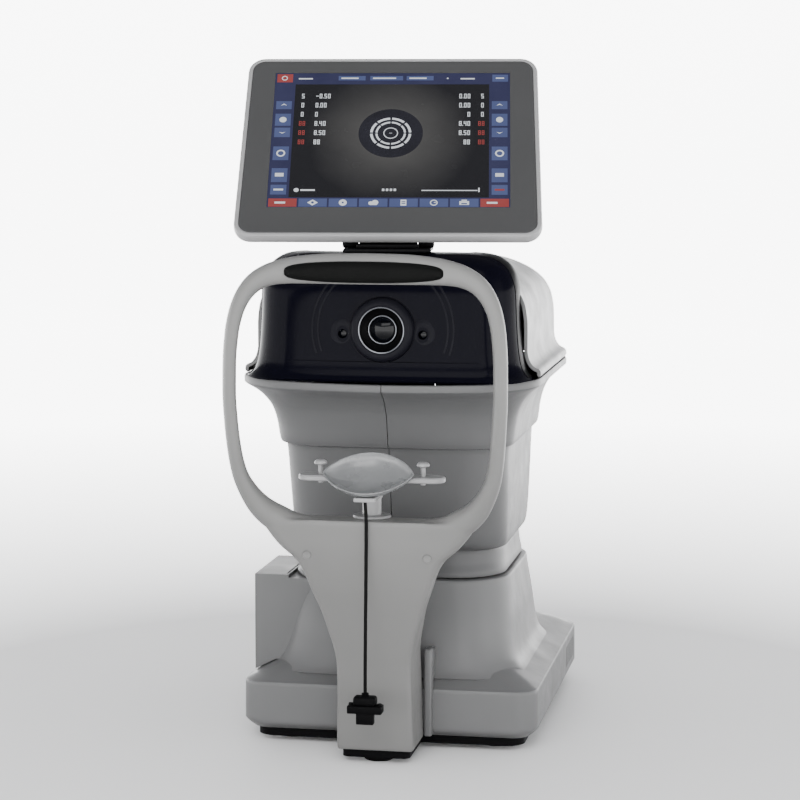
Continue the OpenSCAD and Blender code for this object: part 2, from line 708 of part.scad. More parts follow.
// Shallow oval bowl leaning towards the patient, grown by g all round
module bowl(g) {
    translate([0, cup_y, cup_z]) rotate([cup_tilt, 0, 0])
        scale([1, (26 + g) / (39 + g), (12.8 + g) / (39 + g)]) sphere(r = 39 + g);
}
module chin_plate() {
    color([0.8, 0.8, 0.81]) place() difference() {
        union() {
            hull() for (s = [-1, 1]) translate([s * 52, post_y - 1, plate_z]) cylinder(d = 22, h = 4.6, $fn = 32);
            translate([0, post_y, 236.5]) cylinder(d = 22, h = 14);
            box(-9, 9, -44, post_y - 9.3, 235, 238.6);
        }
        for (s = [-1, 1]) translate([s * 44, post_y - 1, 240]) cylinder(d = 4.1, h = 30);
        bowl(0.3);
    }
}
module chin_cup() {
    color([0.9, 0.9, 0.9]) place() difference() {
        bowl(0);
        translate([0, 0, 0.6]) bowl(-2.6);
        translate([0, cup_y, cup_z]) rotate([cup_tilt, 0, 0]) translate([-60, -60, 0]) cube([120, 120, 60]);
    }
}
module paper_pin(s) {
    color([0.85, 0.85, 0.86]) place() translate([s * 44, post_y - 1, 0]) {
        translate([0, 0, plate_z - 3]) cylinder(d = 4, h = 18);
        translate([0, 0, plate_z + 13]) cylinder(d1 = 11, d2 = 8, h = 4);
    }
}
module paper_pin_left() { paper_pin(-1); }
module paper_pin_right() { paper_pin(1); }

// ---- Hanging lead -----------------------------------------------------
lead_d = 3;
// Route of the free lead, from under the cup to the top of its plug
lead_route = [[0, -39.4, 235], [0.3, -39.4, 231], [0.9, -39.5, 222], [1, -39.6, 212],
    [1, -39.7, 200], [0.9, -39.8, 188], [0.8, -39.8, 176], [0.7, -39.9, 164], [0.6, -39.9, 152],
    [0.4, -40, 140], [0.3, -40, 128], [0.2, -40, 116], [0.1, -40, 104], [0, -40, 92], [0, -40, 80],
    [0, -40, 72.5]];
lead_sides = 8;
module sensor_lead() {
    m = len(lead_route);
    points = [for (p = lead_route, i = [0:lead_sides - 1])
        [p[0] + lead_d / 2 * cos(360 * i / lead_sides), p[1] + lead_d / 2 * sin(360 * i / lead_sides), p[2]]];
    sides = [for (k = [0:m - 2], i = [0:lead_sides - 1])
        [k * lead_sides + i, k * lead_sides + (i + 1) % lead_sides,
            (k + 1) * lead_sides + (i + 1) % lead_sides, (k + 1) * lead_sides + i]];
    color([0.05, 0.05, 0.05]) place() polyhedron(points, concat([[for (i = [lead_sides - 1:-1:0]) i]],
        [[for (i = [0:lead_sides - 1]) (m - 1) * lead_sides + i]], sides), convexity = 4);
}
module lead_plug() {
    color([0.05, 0.05, 0.05]) place() translate([0, -40, 0]) {
        box(-10, 10, -6, 6, 61.8, 70);
        translate([0, 0, 70]) cylinder(d = 8, h = 2.4);
        box(-15, 15, -6.5, 6.5, 55, 62);
        box(-7.5, 7.5, -4, 4, 45.5, 55.1);
    }
}

base_tray();
rubber_feet();
base_cover();
turret_cover();
printer_housing();
printer_door();
door_pin();
paper_roll();
roll_spindle();
platen_roller();
print_head();
mainboard();
power_supply();
power_inlet();
power_switch();
io_panel();
y_rails();
y_carriage();
y_motor();
x_rails();
x_carriage();
x_motor();
z_column();
z_motor();
z_screw();
turret_collar();
head_chassis();
head_cover_left();
head_cover_right();
head_top_cover();
front_mask();
lens_bezel();
mire_ring();
objective_lens();
sensor_windows();
optical_tube();
beam_splitter();
camera_module();
fixation_unit();
swivel_base();
swivel_block();
hinge_pin();
screen_back();
screen_bezel();
display_panel();
touch_glass();
headrest_column();
column_back();
headrest_frame();
forehead_pad();
screw_caps();
post_flange();
chin_motor();
chin_post();
chin_plate();
chin_cup();
paper_pin_left();
paper_pin_right();
sensor_lead();
lead_plug();
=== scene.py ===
import math

import bmesh
import bpy
from mathutils import Matrix, Vector


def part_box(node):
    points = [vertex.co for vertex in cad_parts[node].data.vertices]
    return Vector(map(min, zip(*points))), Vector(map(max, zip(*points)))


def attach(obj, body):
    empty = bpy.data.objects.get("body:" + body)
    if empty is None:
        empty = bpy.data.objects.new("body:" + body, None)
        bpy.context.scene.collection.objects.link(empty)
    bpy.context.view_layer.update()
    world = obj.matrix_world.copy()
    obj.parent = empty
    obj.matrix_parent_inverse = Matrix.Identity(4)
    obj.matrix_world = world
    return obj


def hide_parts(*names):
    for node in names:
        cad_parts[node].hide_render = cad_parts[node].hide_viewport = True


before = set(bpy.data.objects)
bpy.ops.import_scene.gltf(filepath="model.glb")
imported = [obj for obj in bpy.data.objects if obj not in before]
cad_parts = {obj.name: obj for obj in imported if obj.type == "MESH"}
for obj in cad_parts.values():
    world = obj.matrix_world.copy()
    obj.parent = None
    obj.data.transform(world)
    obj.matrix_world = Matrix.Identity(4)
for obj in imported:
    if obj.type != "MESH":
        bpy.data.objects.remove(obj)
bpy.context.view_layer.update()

# All lengths below are millimetres in the object's own layout: x from its centre line, y back from
# the front face of the headrest column, z up from the table. at() turns them into the frame's metres.
MM = 0.001
COVER_FRONT = 55.0
COVER_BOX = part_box("base_cover")
HOME_X = (COVER_BOX[0][0] + COVER_BOX[1][0]) / 2
HOME_Y = COVER_BOX[0][1] - COVER_FRONT * MM


def at(x, y, z):
    return Vector((HOME_X + x * MM, HOME_Y + y * MM, z * MM))


# ---- camera and light

CAMERA_SPOT = at(402, -2050, 564)
CAMERA_AIM = at(2, 110, 303)
CAMERA_LENS = 112
OBJECT_MIDDLE = Vector((0, 0, 0.3))


def make_camera():
    data = bpy.data.cameras.new("camera")
    data.lens = CAMERA_LENS
    data.sensor_width = 36
    camera = bpy.data.objects.new("camera", data)
    camera.location = CAMERA_SPOT
    camera.rotation_euler = (CAMERA_AIM - CAMERA_SPOT).to_track_quat("-Z", "Y").to_euler()
    bpy.context.collection.objects.link(camera)
    bpy.context.scene.camera = camera


def area_light(name, spot, size, power):
    """Soft light aimed at the middle of the object; places and sizes in metres, power in watts."""
    data = bpy.data.lights.new(name, "AREA")
    data.shape = "RECTANGLE"
    data.size, data.size_y = size
    data.energy = power
    light = bpy.data.objects.new(name, data)
    light.location = spot
    light.rotation_euler = (OBJECT_MIDDLE - light.location).to_track_quat("-Z", "Y").to_euler()
    bpy.context.collection.objects.link(light)


def make_light():
    area_light("key", (0.1, -2.3, 1.7), (1.8, 1.4), 60)
    area_light("top", (0.1, 0.3, 2.6), (2.4, 2.4), 7)
    area_light("right", (2.3, -1.2, 0.9), (1.2, 1.6), 14)
    area_light("rear", (-0.8, 2.2, 1.5), (1.6, 1.2), 6)
    world = bpy.data.worlds.new("studio")
    world.use_nodes = True
    background = world.node_tree.nodes["Background"]
    background.inputs["Color"].default_value = (0.95, 0.96, 1.0, 1)
    background.inputs["Strength"].default_value = 0.75
    bpy.context.scene.world = world


# ---- materials

MIX_A, MIX_B, MIX_RESULT = 6, 7, 2  # the colour sockets of a Mix node
GRAIN_DEPTH = 0.00006
SCUFF_DEPTH = 0.00003


class Graph:
    """A material with short calls for adding and joining nodes."""

    def __init__(self, name):
        self.material = bpy.data.materials.new(name)
        self.material.use_nodes = True
        self.nodes = self.material.node_tree.nodes
        self.join = self.material.node_tree.links.new
        self.shader = self.nodes["Principled BSDF"]

    def add(self, kind, **values):
        node = self.nodes.new(kind)
        for key, value in values.items():
            if key in node.inputs:
                node.inputs[key].default_value = value
            else:
                setattr(node, key, value)
        return node

    def place(self):
        return self.add("ShaderNodeTexCoord").outputs["Object"]

    def noise(self, scale, detail=3.0, roughness=0.5, stretch=None):
        node = self.add("ShaderNodeTexNoise", Scale=scale, Detail=detail, Roughness=roughness)
        place = self.place()
        if stretch:
            mapping = self.add("ShaderNodeMapping", Scale=stretch)
            self.join(place, mapping.inputs["Vector"])
            place = mapping.outputs["Vector"]
        self.join(place, node.inputs["Vector"])
        return node.outputs["Fac"]

    def ramp(self, source, low, high, start=0.3, end=0.7):
        ends = {"From Min": start, "From Max": end, "To Min": low, "To Max": high}
        node = self.add("ShaderNodeMapRange", **ends)
        self.join(source, node.inputs["Value"])
        return node.outputs["Result"]

    def tint(self, factor, dark, light):
        node = self.add("ShaderNodeMix", data_type="RGBA")
        node.inputs[MIX_A].default_value = (*dark, 1)
        node.inputs[MIX_B].default_value = (*light, 1)
        self.join(factor, node.inputs["Factor"])
        return node.outputs[MIX_RESULT]

    def bump(self, height, distance, strength=1.0, under=None):
        node = self.add("ShaderNodeBump", Distance=distance, Strength=strength)
        self.join(height, node.inputs["Height"])
        if under is not None:
            self.join(under, node.inputs["Normal"])
        return node.outputs["Normal"]

    def surface(self, colour, rough, normal=None, **uniform):
        """Joins what varies to the shader and sets what is the same all over on its own sockets."""
        self.join(colour, self.shader.inputs["Base Color"])
        self.join(rough, self.shader.inputs["Roughness"])
        if normal is not None:
            self.join(normal, self.shader.inputs["Normal"])
        for key, value in uniform.items():
            self.shader.inputs[key.replace("_", " ")].default_value = value
        return self.material


def scaled(colour, k):
    return tuple(min(1.0, c * k) for c in colour)


def moulded(name, colour, rough=0.42, grain=0.35, grain_size=0.0009, variation=0.05, specular=0.2):
    """Moulded plastic or paint: fine grain, faint mottling, uneven gloss and a few rubbed patches."""
    g = Graph(name)
    mottle = g.ramp(g.noise(7, 4), 0, 1)
    scuff = g.noise(90, 5, 0.7, stretch=(0.25, 0.25, 2.2))
    return g.surface(g.tint(mottle, scaled(colour, 1 - variation), scaled(colour, 1 + variation)),
                     g.ramp(g.noise(38, 6, 0.65), rough - 0.06, rough + 0.07),
                     g.bump(g.noise(1 / grain_size, 2), GRAIN_DEPTH, grain, g.bump(scuff, SCUFF_DEPTH, 0.25)),
                     Specular_IOR_Level=specular)


def metal(name, colour, rough=0.28, stretch=(1, 1, 30), strength=0.4):
    """Machined metal with tool marks along one way and a slightly uneven polish."""
    g = Graph(name)
    marks = g.noise(220, 3, 0.6, stretch=stretch)
    stain = g.ramp(g.noise(25, 4), 0, 1)
    return g.surface(g.tint(stain, scaled(colour, 0.88), scaled(colour, 1.05)),
                     g.ramp(marks, rough - 0.08, rough + 0.1),
                     g.bump(marks, SCUFF_DEPTH, strength), Metallic=1.0)


def glossy_black(name):
    """Polished black acrylic with a faint violet cast, fine dust and hairline wipe marks."""
    g = Graph(name)
    dust = g.ramp(g.noise(420, 6, 0.8), 0, 1, 0.62, 0.8)
    wipe = g.noise(60, 6, 0.7, stretch=(3, 1, 0.4))
    return g.surface(g.tint(dust, (0.0012, 0.0012, 0.0028), (0.004, 0.004, 0.007)),
                     g.ramp(wipe, 0.12, 0.24), g.bump(g.noise(9, 2), 0.0003, 0.12), Specular_IOR_Level=0.022)


def glass(name, colour, rough=0.04):
    g = Graph(name)
    smear = g.noise(50, 4)
    return g.surface(g.tint(g.ramp(smear, 0, 1), scaled(colour, 0.85), colour),
                     g.ramp(smear, rough, rough + 0.07), Specular_IOR_Level=0.12)


def milky(name, colour):
    """Translucent polycarbonate of the chin cup, clouded a little by use."""
    g = Graph(name)
    cloud = g.noise(45, 5, 0.6)
    return g.surface(g.tint(g.ramp(cloud, 0, 1), scaled(colour, 0.9), colour),
                     g.ramp(cloud, 0.22, 0.34), g.bump(g.noise(600, 2), 0.00004, 0.3),
                     Subsurface_Weight=0.35, Subsurface_Radius=(0.004, 0.004, 0.004), Subsurface_Scale=1.0)


def glowing(g, share, glow, base, power=1.0):
    """Dark glass that gives off light; glow and base are each a pair of colours that share mixes."""
    g.join(g.tint(share, *glow), g.shader.inputs["Emission Color"])
    return g.surface(g.tint(share, *base), g.ramp(g.noise(40, 3), 0.2, 0.28),
                     Emission_Strength=power, Specular_IOR_Level=0.1)


def lit(name, colour, power=1.0, variation=0.1):
    """A lit area of the display under its glass, with faint unevenness of the backlight."""
    g = Graph(name)
    uneven = g.ramp(g.noise(30, 3), 0, 1)
    return glowing(g, uneven, (scaled(colour, 1 - variation), colour),
                   ((0.004, 0.004, 0.006), (0.007, 0.007, 0.01)), power)


def eye_picture(name, centre, reach):
    """The live picture behind the display's glass: grey skin light that falls off to black all round."""
    g = Graph(name)
    apart = g.add("ShaderNodeVectorMath", operation="DISTANCE")
    g.join(g.place(), apart.inputs[0])
    apart.inputs[1].default_value = centre
    warped = g.add("ShaderNodeMath", operation="MULTIPLY_ADD")
    g.join(g.noise(26, 3), warped.inputs[0])
    warped.inputs[1].default_value = 0.018
    g.join(apart.outputs["Value"], warped.inputs[2])
    near = g.ramp(warped.outputs["Value"], 1, 0, reach * 0.3, reach)
    return glowing(g, near, ((0.002, 0.002, 0.002), (0.06, 0.058, 0.056)),
                   ((0.004, 0.004, 0.005), (0.01, 0.01, 0.01)))


# Each look is the material slot in the record that it belongs to, and its material
M = {
    "case": ("case_grey", moulded("case_grey", (0.077, 0.0773, 0.078))),
    # head: the grey case plastic painted darker, as painted shade from the brim that overhangs the head's
    # lower covers
    "head": ("case_grey", moulded("head_grey_painted_shade", (0.051, 0.0513, 0.052))),
    # collar: the grey case plastic painted darker still, as painted shade from the head that hangs over it
    "collar": ("case_grey", moulded("collar_grey_painted_shade", (0.045, 0.0453, 0.046))),
    "cover": ("cover_white", moulded("cover_white", (0.062, 0.062, 0.063), 0.38, specular=0.25)),
    "column": ("arch_grey", moulded("column_paint", (0.1, 0.0995, 0.0975), 0.4, 0.25, specular=0.15)),
    "light": ("light_grey", moulded("light_plastic", (0.155, 0.155, 0.1565), 0.34, 0.2, specular=0.25)),
    "bezel": ("bezel_grey", moulded("bezel_grey", (0.03, 0.0302, 0.0307), 0.5, 0.3, specular=0.06)),
    "hood": ("black_matte", moulded("hood_black", (0.003, 0.003, 0.0048), 0.5, 0.3, variation=0.2,
                                    specular=0.05)),
    "black": ("black_matte", moulded("black_plastic", (0.0012, 0.0012, 0.0014), 0.5, 0.6, variation=0.2,
                                     specular=0.03)),
    "side": ("black_matte", moulded("satin_black", (0.0012, 0.0012, 0.0016), 0.4, 0.25, variation=0.2,
                                    specular=0.04)),
    "rubber": ("rubber_black", moulded("black_rubber", (0.002, 0.002, 0.002), 0.75, 0.8, 0.0006, 0.15, 0.03)),
    "pad": ("pad_black", moulded("pad_silicone", (0.0022, 0.0023, 0.0022), 0.62, 0.9, 0.0011, 0.14, 0.03)),
    "cable": ("cable_black", moulded("cable_jacket", (0.001, 0.001, 0.001), 0.45, 0.5, 0.0005, 0.15, 0.04)),
    "gloss": ("black_gloss", glossy_black("black_acrylic")),
    "ring": ("ring_metal", metal("ring_metal", (0.11, 0.115, 0.125), 0.3, (30, 1, 30))),
    "steel": ("steel", metal("ground_steel", (0.62, 0.63, 0.65), 0.22)),
    "alloy": ("aluminium", metal("machined_alloy", (0.4, 0.41, 0.43), 0.36, (8, 1, 8))),
    "lens": ("lens_glass", glass("coated_lens", (0.0005, 0.0007, 0.0015))),
    "plate": ("splitter_glass", glass("splitter_plate", (0.4, 0.5, 0.55))),
    "cup": ("cup_white", milky("milk_polycarbonate", (0.11, 0.113, 0.115))),
    "paper": ("paper", moulded("thermal_paper", (0.5, 0.5, 0.49), 0.8, 0.5, 0.0004, 0.03, 0.1)),
    "board": ("board_green", moulded("circuit_board", (0.005, 0.05, 0.02), 0.35, 0.3, 0.0006, 0.2)),
    "display_navy": ("display", lit("display_navy", (0.02, 0.022, 0.075))),
    "display_blue": ("display", lit("display_blue", (0.075, 0.1, 0.24))),
    "display_white": ("display", lit("display_white", (0.8, 0.84, 0.88), 1.1)),
    "display_red": ("display", lit("display_red", (0.36, 0.05, 0.04))),
    "display_black": ("display", lit("display_black", (0.001, 0.001, 0.001))),
}

# ---- mesh helpers


def new_object(name, bm):
    """Turns a bmesh into an object in the scene."""
    mesh = bpy.data.meshes.new(name)
    bm.to_mesh(mesh)
    bm.free()
    obj = bpy.data.objects.new(name, mesh)
    bpy.context.collection.objects.link(obj)
    return obj


def shade(mesh, smooth):
    for polygon in mesh.polygons:
        polygon.use_smooth = smooth


def piece(name, bm, look, body, smooth_angle=35, stands_for=()):
    """Turns a bmesh into a piece of the object that rides on a body."""
    slot, material = M[look]
    bmesh.ops.recalc_face_normals(bm, faces=bm.faces)
    obj = new_object(name, bm)
    shade(obj.data, True)
    obj.data.set_sharp_from_angle(angle=math.radians(smooth_angle))
    obj.data.materials.append(material)
    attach(obj, body)
    if stands_for:
        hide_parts(*stands_for)
    return obj


def stand_in(node, bm, look, body):
    """A piece that takes the place of the CAD node it is named after."""
    return piece(f"{node}_piece", bm, look, body, stands_for=(node,))


def as_is(x, y, z):
    return x, y, z


def power_of(value, exponent):
    """value to a power, with its sign kept."""
    return math.copysign(abs(value) ** exponent, value)


def corner_points(hw, y0, y1, r, n, m):
    """Rounded rectangle seen from above, with n steps a corner and m a straight side."""
    corners = [(hw - r, y1 - r, 0), (-hw + r, y1 - r, 90), (-hw + r, y0 + r, 180), (hw - r, y0 + r, 270)]
    arcs = []
    for cx, cy, a0 in corners:
        turn = [math.radians(a0 + 90 * i / n) for i in range(n + 1)]
        arcs.append([(cx + r * math.cos(a), cy + r * math.sin(a)) for a in turn])
    points = []
    for k, arc in enumerate(arcs):
        points += arc
        (ax, ay), (bx, by) = arc[-1], arcs[(k + 1) % 4][0]
        points += [(ax + (bx - ax) * i / m, ay + (by - ay) * i / m) for i in range(1, m)]
    return points


def eased(keys, step):
    """Levels between the key levels, on smooth curves that never overshoot them."""
    spots = [0.0]
    for a, b in zip(keys, keys[1:]):
        spots.append(spots[-1] + max(1e-6, math.dist(a[:4], b[:4])))
    slopes = []
    for column in zip(*keys):
        steps = [(b - a) / (t - s) for a, b, s, t in zip(column, column[1:], spots, spots[1:])]
        row = [steps[0]]
        for a, b in zip(steps, steps[1:]):
            row.append(0.0 if a * b <= 0 else 2 * a * b / (a + b))
        slopes.append(row + [steps[-1]])
    levels = []
    for i in range(len(keys) - 1):
        span = spots[i + 1] - spots[i]
        parts = max(1, int(round(span / step)))
        for k in range(parts):
            t = k / parts
            h = (2 * t**3 - 3 * t**2 + 1, t**3 - 2 * t**2 + t, 3 * t**2 - 2 * t**3, t**3 - t**2)
            levels.append([h[0] * a + h[1] * span * row[i] + h[2] * b + h[3] * span * row[i + 1]
                           for a, b, row in zip(keys[i], keys[i + 1], slopes)])
    return levels + [list(keys[-1])]


def skin(bm, rings):
    """Faces between each ring of points and the next, all with as many points."""
    for a, b in zip(rings, rings[1:]):
        for i in range(len(a)):
            j = (i + 1) % len(a)
            bm.faces.new((a[i], a[j], b[j], b[i]))


def stack(rings, turn, cap_low=True, cap_high=True):
    """Skin through rings of layout points, each moved by turn, with flat ends."""
    bm = bmesh.new()
    rows = [[bm.verts.new(at(*turn(*point))) for point in ring] for ring in rings]
    skin(bm, rows)
    if cap_low:
        bm.faces.new(list(reversed(rows[0])))
    if cap_high:
        bm.faces.new(rows[-1])
    return bm


def loft(levels, cap_low=False, cap_high=False, n=10, m=10, shape=as_is):
    """Skin through levels of [z, half width, front y, rear y, corner radius, bow of the front]."""
    rings = []
    for z, hw, y0, y1, r, bow in levels:
        ring = []
        for x, y in corner_points(hw, y0, y1, min(r, hw - 0.5, (y1 - y0) / 2 - 0.5), n, m):
            front = max(0.0, 1 - (y - y0) / 30) if bow else 0.0
            ring.append((x, y - bow * front * (1 - (x / hw) ** 2), z))
        rings.append(ring)
    return stack(rings, shape, cap_low, cap_high)


def cut_flat(bm, spot, normal):
    """Removes what lies on the side of a plane that normal points to."""
    geometry = bm.verts[:] + bm.edges[:] + bm.faces[:]
    bmesh.ops.bisect_plane(bm, geom=geometry, plane_co=at(*spot), plane_no=normal, clear_outer=True)


def thicken(bm, t):
    """Gives an open skin a wall of t millimetres, inward."""
    bmesh.ops.recalc_face_normals(bm, faces=bm.faces)
    bmesh.ops.solidify(bm, geom=bm.faces[:], thickness=t * MM)


def round_box(lo, hi, r=1.0, segments=3, turn=as_is):
    """Box with rounded edges between two corners."""
    bm = bmesh.new()
    bmesh.ops.create_cube(bm, size=1)
    size = Vector(hi) - Vector(lo)
    middle = (Vector(hi) + Vector(lo)) / 2
    for v in bm.verts:
        v.co = v.co * size + middle
    bmesh.ops.bevel(bm, geom=bm.edges[:], offset=r, segments=segments, profile=0.5, affect="EDGES")
    for v in bm.verts:
        v.co = at(*turn(*v.co))
    return bm


AXES = {
    "x": lambda r, a, h: (h, r * math.cos(a), r * math.sin(a)),
    "y": lambda r, a, h: (r * math.cos(a), h, r * math.sin(a)),
    "z": lambda r, a, h: (r * math.cos(a), r * math.sin(a), h),
}


def lathe(centre, axis, profile, steps=64, turn=as_is):
    """Turned shape: profile is [(radius, distance along the axis)], closed if it starts and ends at 0."""
    bm = bmesh.new()
    rings = []
    for r, h in profile:
        ring = []
        for i in range(steps if r else 1):
            spot = AXES[axis](r, 2 * math.pi * i / steps, h)
            ring.append(bm.verts.new(at(*turn(*(s + c for s, c in zip(spot, centre))))))
        rings.append(ring)
    if len(rings[0]) == len(rings[-1]) == steps:
        rings.append(rings[0])
    for a, b in zip(rings, rings[1:]):
        for i in range(steps):
            j = (i + 1) % steps
            corners = [a[i % len(a)], a[j % len(a)], b[j % len(b)], b[i % len(b)]]
            # A point on the axis stands for two corners of the face
            bm.faces.new(list(dict.fromkeys(corners)))
    return bm


def rod(centre, axis, r, low, high, steps, turn=as_is):
    return lathe(centre, axis, [(0, low), (r, low), (r, high), (0, high)], steps, turn)


def merged(*parts):
    """One bmesh out of several."""
    whole = bmesh.new()
    for part in parts:
        mesh = bpy.data.meshes.new("part")
        part.to_mesh(mesh)
        part.free()
        whole.from_mesh(mesh)
        bpy.data.meshes.remove(mesh)
    return whole


def solid_object(bm):
    """A loose helper object, for a cut or a remesh."""
    bmesh.ops.recalc_face_normals(bm, faces=bm.faces)
    return new_object("helper", bm)


def with_modifiers(obj):
    """The bmesh of obj with its modifiers applied; obj goes away."""
    graph = bpy.context.evaluated_depsgraph_get()
    mesh = bpy.data.meshes.new_from_object(obj.evaluated_get(graph))
    bm = bmesh.new()
    bm.from_mesh(mesh)
    bpy.data.objects.remove(obj)
    bpy.data.meshes.remove(mesh)
    return bm


def carve(bm, *cutters):
    """Cuts solids out of a closed bmesh."""
    obj = solid_object(bm)
    tools = [solid_object(c) for c in cutters]
    for tool in tools:
        modifier = obj.modifiers.new("cut", "BOOLEAN")
        modifier.operation = "DIFFERENCE"
        modifier.solver = "EXACT"
        modifier.object = tool
    result = with_modifiers(obj)
    for tool in tools:
        bpy.data.objects.remove(tool)
    return result


def dress(node, look, bevel=0.0):
    """Keeps a CAD node as it is, with a better material and softened edges."""
    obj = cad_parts[node]
    obj.data.materials.clear()
    obj.data.materials.append(M[look][1])
    if bevel:
        modifier = obj.modifiers.new("edges", "BEVEL")
        modifier.width = bevel * MM
        modifier.segments = 3
        modifier.limit_method = "ANGLE"
        modifier.angle_limit = math.radians(40)
    shade(obj.data, False)


# ---- lead

LEAD_D = 3.0
LEAD_ROUTE = [
    (0, -39.4, 235), (0.3, -39.4, 231), (0.9, -39.5, 222), (1, -39.6, 212), (1, -39.7, 200),
    (0.9, -39.8, 188), (0.8, -39.8, 176), (0.7, -39.9, 164), (0.6, -39.9, 152), (0.4, -40, 140),
    (0.3, -40, 128), (0.2, -40, 116), (0.1, -40, 104), (0, -40, 92), (0, -40, 80), (0, -40, 72.5)]


def make_lead():
    curve = bpy.data.curves.new("sensor_lead_piece", "CURVE")
    curve.dimensions = "3D"
    curve.bevel_depth = LEAD_D / 2 * MM
    curve.bevel_resolution = 6
    curve.use_fill_caps = True
    spline = curve.splines.new("POLY")
    spline.points.add(len(LEAD_ROUTE) - 1)
    for point, spot in zip(spline.points, LEAD_ROUTE):
        point.co = (*at(*spot), 1)
    lead = bpy.data.objects.new("sensor_lead_piece", curve)
    bpy.context.collection.objects.link(lead)
    slot, material = M["cable"]
    curve.materials.append(material)
    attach(lead, "chin_rest")
    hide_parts("sensor_lead")
    plug = make_plug()


def make_plug():
    """Small connector: ribbed boot, hood with rounded shoulders, flange and socket."""
    y = -40
    boot = [(0, 72.4), (2.4, 72.4)]
    for k in range(2):
        boot += [(3.1, 72.2 - k), (2.8, 71.7 - k)]
    boot += [(3.9, 70.2), (3.9, 69.5), (0, 69.5)]
    parts = [lathe((0, y, 0), "z", boot, 24),
             round_box((-9.8, y - 5.8, 61.6), (9.8, y + 5.8, 69.8), 2.6, 4),
             round_box((-14.8, y - 6.3, 55.2), (14.8, y + 6.3, 62), 1.0),
             round_box((-7.4, y - 3.9, 45.6), (7.4, y + 3.9, 55.6), 0.8)]
    screw = [(0, 63.6), (1.9, 63.6), (2.1, 63.2), (2.1, 61.6), (0, 61.6)]
    parts += [lathe((side * 12.2, y, 0), "z", screw, 20) for side in (-1, 1)]
    return stand_in("lead_plug", merged(*parts), "black", "chin_rest")


# ---- base

BASE_HW = 132
BASE_REAR = 375
# The opening for the printer, in the left side of the base and of the turret
BAY_FRONT = 99
BAY_REAR = 192
STEP_X = 38


def make_base_cover():
    # Height, insets at the side, front and rear, corner radius, bow of the front
    insets = [
        (12.2, 8, 8, 6, 15, 0),
        (14, 5.5, 5.5, 4, 18, 0),
        (18, 1.2, 1.2, 1, 21, 1),
        (20, 0, 0.8, 0, 20, 1),
        (53.6, 0.3, 0.8, 0.4, 20, 1),
        (54.8, 0.9, 1.4, 1, 20, 1),
        (55.4, 2.4, 2.9, 2.6, 20, 1),
        (56.6, 5, 5.6, 5, 20, 1),
        (67, 26, 26, 24, 20, 0),
        (69, 31, 30, 33, 19, 0),
        (70, 38, 38, 62, 16, 0)]
    keys = [[z, BASE_HW - side, COVER_FRONT + front, BASE_REAR - rear, r, bow]
            for z, side, front, rear, r, bow in insets]
    bm = loft(eased(keys, 2.5))
    thicken(bm, 2.5)
    holes = [
        round_box((-100, BASE_REAR - 12, 22), (-62, BASE_REAR + 5, 50), 0.5),
        round_box((20, BASE_REAR - 12, 22), (104, BASE_REAR + 5, 44), 0.5),
        round_box((-51, BASE_REAR - 12, 26), (-29, BASE_REAR + 5, 44), 0.5),
        round_box((-BASE_HW - 0.4, BAY_FRONT - 0.3, 66), (-60, BAY_REAR + 0.3, 80), 0.3),
        round_box((-27, 50, 15), (27, 64, 40), 1)]
    # Cooling slots in both side walls, towards the rear
    for side in (-1, 1):
        for y in range(286, 349, 7):
            holes.append(round_box((side * BASE_HW - 8, y, 26), (side * BASE_HW + 8, y + 2.4, 46), 1.0))
    # Slim step that the back of the headrest column leans against, on both sides
    steps = []
    for side in (-1, 1):
        steps.append(round_box((side * STEP_X - 3.4, 48, 14), (side * STEP_X + 3.4, 60, 92), 1.6))
        steps.append(round_box((side * STEP_X - 2.2, 52, 60), (side * STEP_X + 2.2, 84, 88), 1.4))
    stand_in("base_cover", merged(carve(bm, *holes), *steps), "case", "base")


def make_base_details():
    profile = [(0, 0), (11.6, 0), (12.6, 0.6), (13, 1.6), (12.6, 4.9), (0, 4.9)]
    feet = []
    for x, y in ((-92, 92), (92, 92), (-92, 340), (92, 340), (0, 22)):
        feet.append(lathe((x, y, 0), "z", profile, 40))
        feet.append(rod((x, y, 0), "z", 3, 4.9, 11, 24))
    stand_in("rubber_feet", merged(*feet), "rubber", "base")
    rear = BASE_REAR
    pins = [round_box((-81 + dx - 1, rear - 11, z - 2), (-81 + dx + 1, rear - 1, z + 2), 0.3)
            for dx, z in ((0, 39), (-6.5, 33), (6.5, 33))]
    piece("inlet_pins", merged(*pins), "steel", "base")
    piece("rocker_mark", round_box((-41, rear + 2.2, 38.4), (-39, rear + 2.5, 40.4), 0.1), "light", "rocker")
    rim = carve(round_box((-53, rear - 0.3, 24), (-27, rear + 1.6, 46), 0.6),
                round_box((-49.4, rear - 5, 27), (-30.6, rear + 5, 43), 0.5))
    piece("rocker_frame", rim, "black", "base")
    sockets = [round_box((x + 1, rear - 7, 31.4), (x + 6, rear - 1, 33), 0.2) for x in (50, 66)]
    sockets.append(round_box((29.5, rear - 7.5, 35), (41.5, rear - 2, 38.5), 0.3))
    sockets += [rod((x, rear + 0.4, 32.5), "y", 2.2, 0, 2, 6) for x in (77.5, 99.5)]
    piece("socket_tongues", merged(*sockets), "black", "base")


# ---- turret and collar

AXIS_Y = 192  # the lifting column's axis


def make_turret():
    keys = [
        [62.5, 115, 68, 316, 46, 2],
        [66, 111.5, 71.5, 312, 46, 2],
        [74, 107.5, 76, 307, 46, 2],
        [90, 104.4, 81.5, 303, 46, 2],
        [110, 102.2, 86.4, 299, 46, 2],
        [139, 98.4, 94, 291.6, 46, 2],
        [142.6, 98, 94.8, 291, 46, 2],
        [144, 97.4, 95.6, 290.4, 45, 2],
        [144.8, 96, 97, 289, 44, 1],
        [145, 93, 100, 286, 42, 0],
        [145, 61.5, 147, 237, 8, 0]]
    bm = loft(eased(keys, 2.5))
    thicken(bm, 2.4)
    bm = carve(bm, round_box((-140, BAY_FRONT - 0.4, 50), (-70, BAY_REAR + 0.4, 141.4), 0.3))
    stand_in("turret_cover", bm, "case", "base")


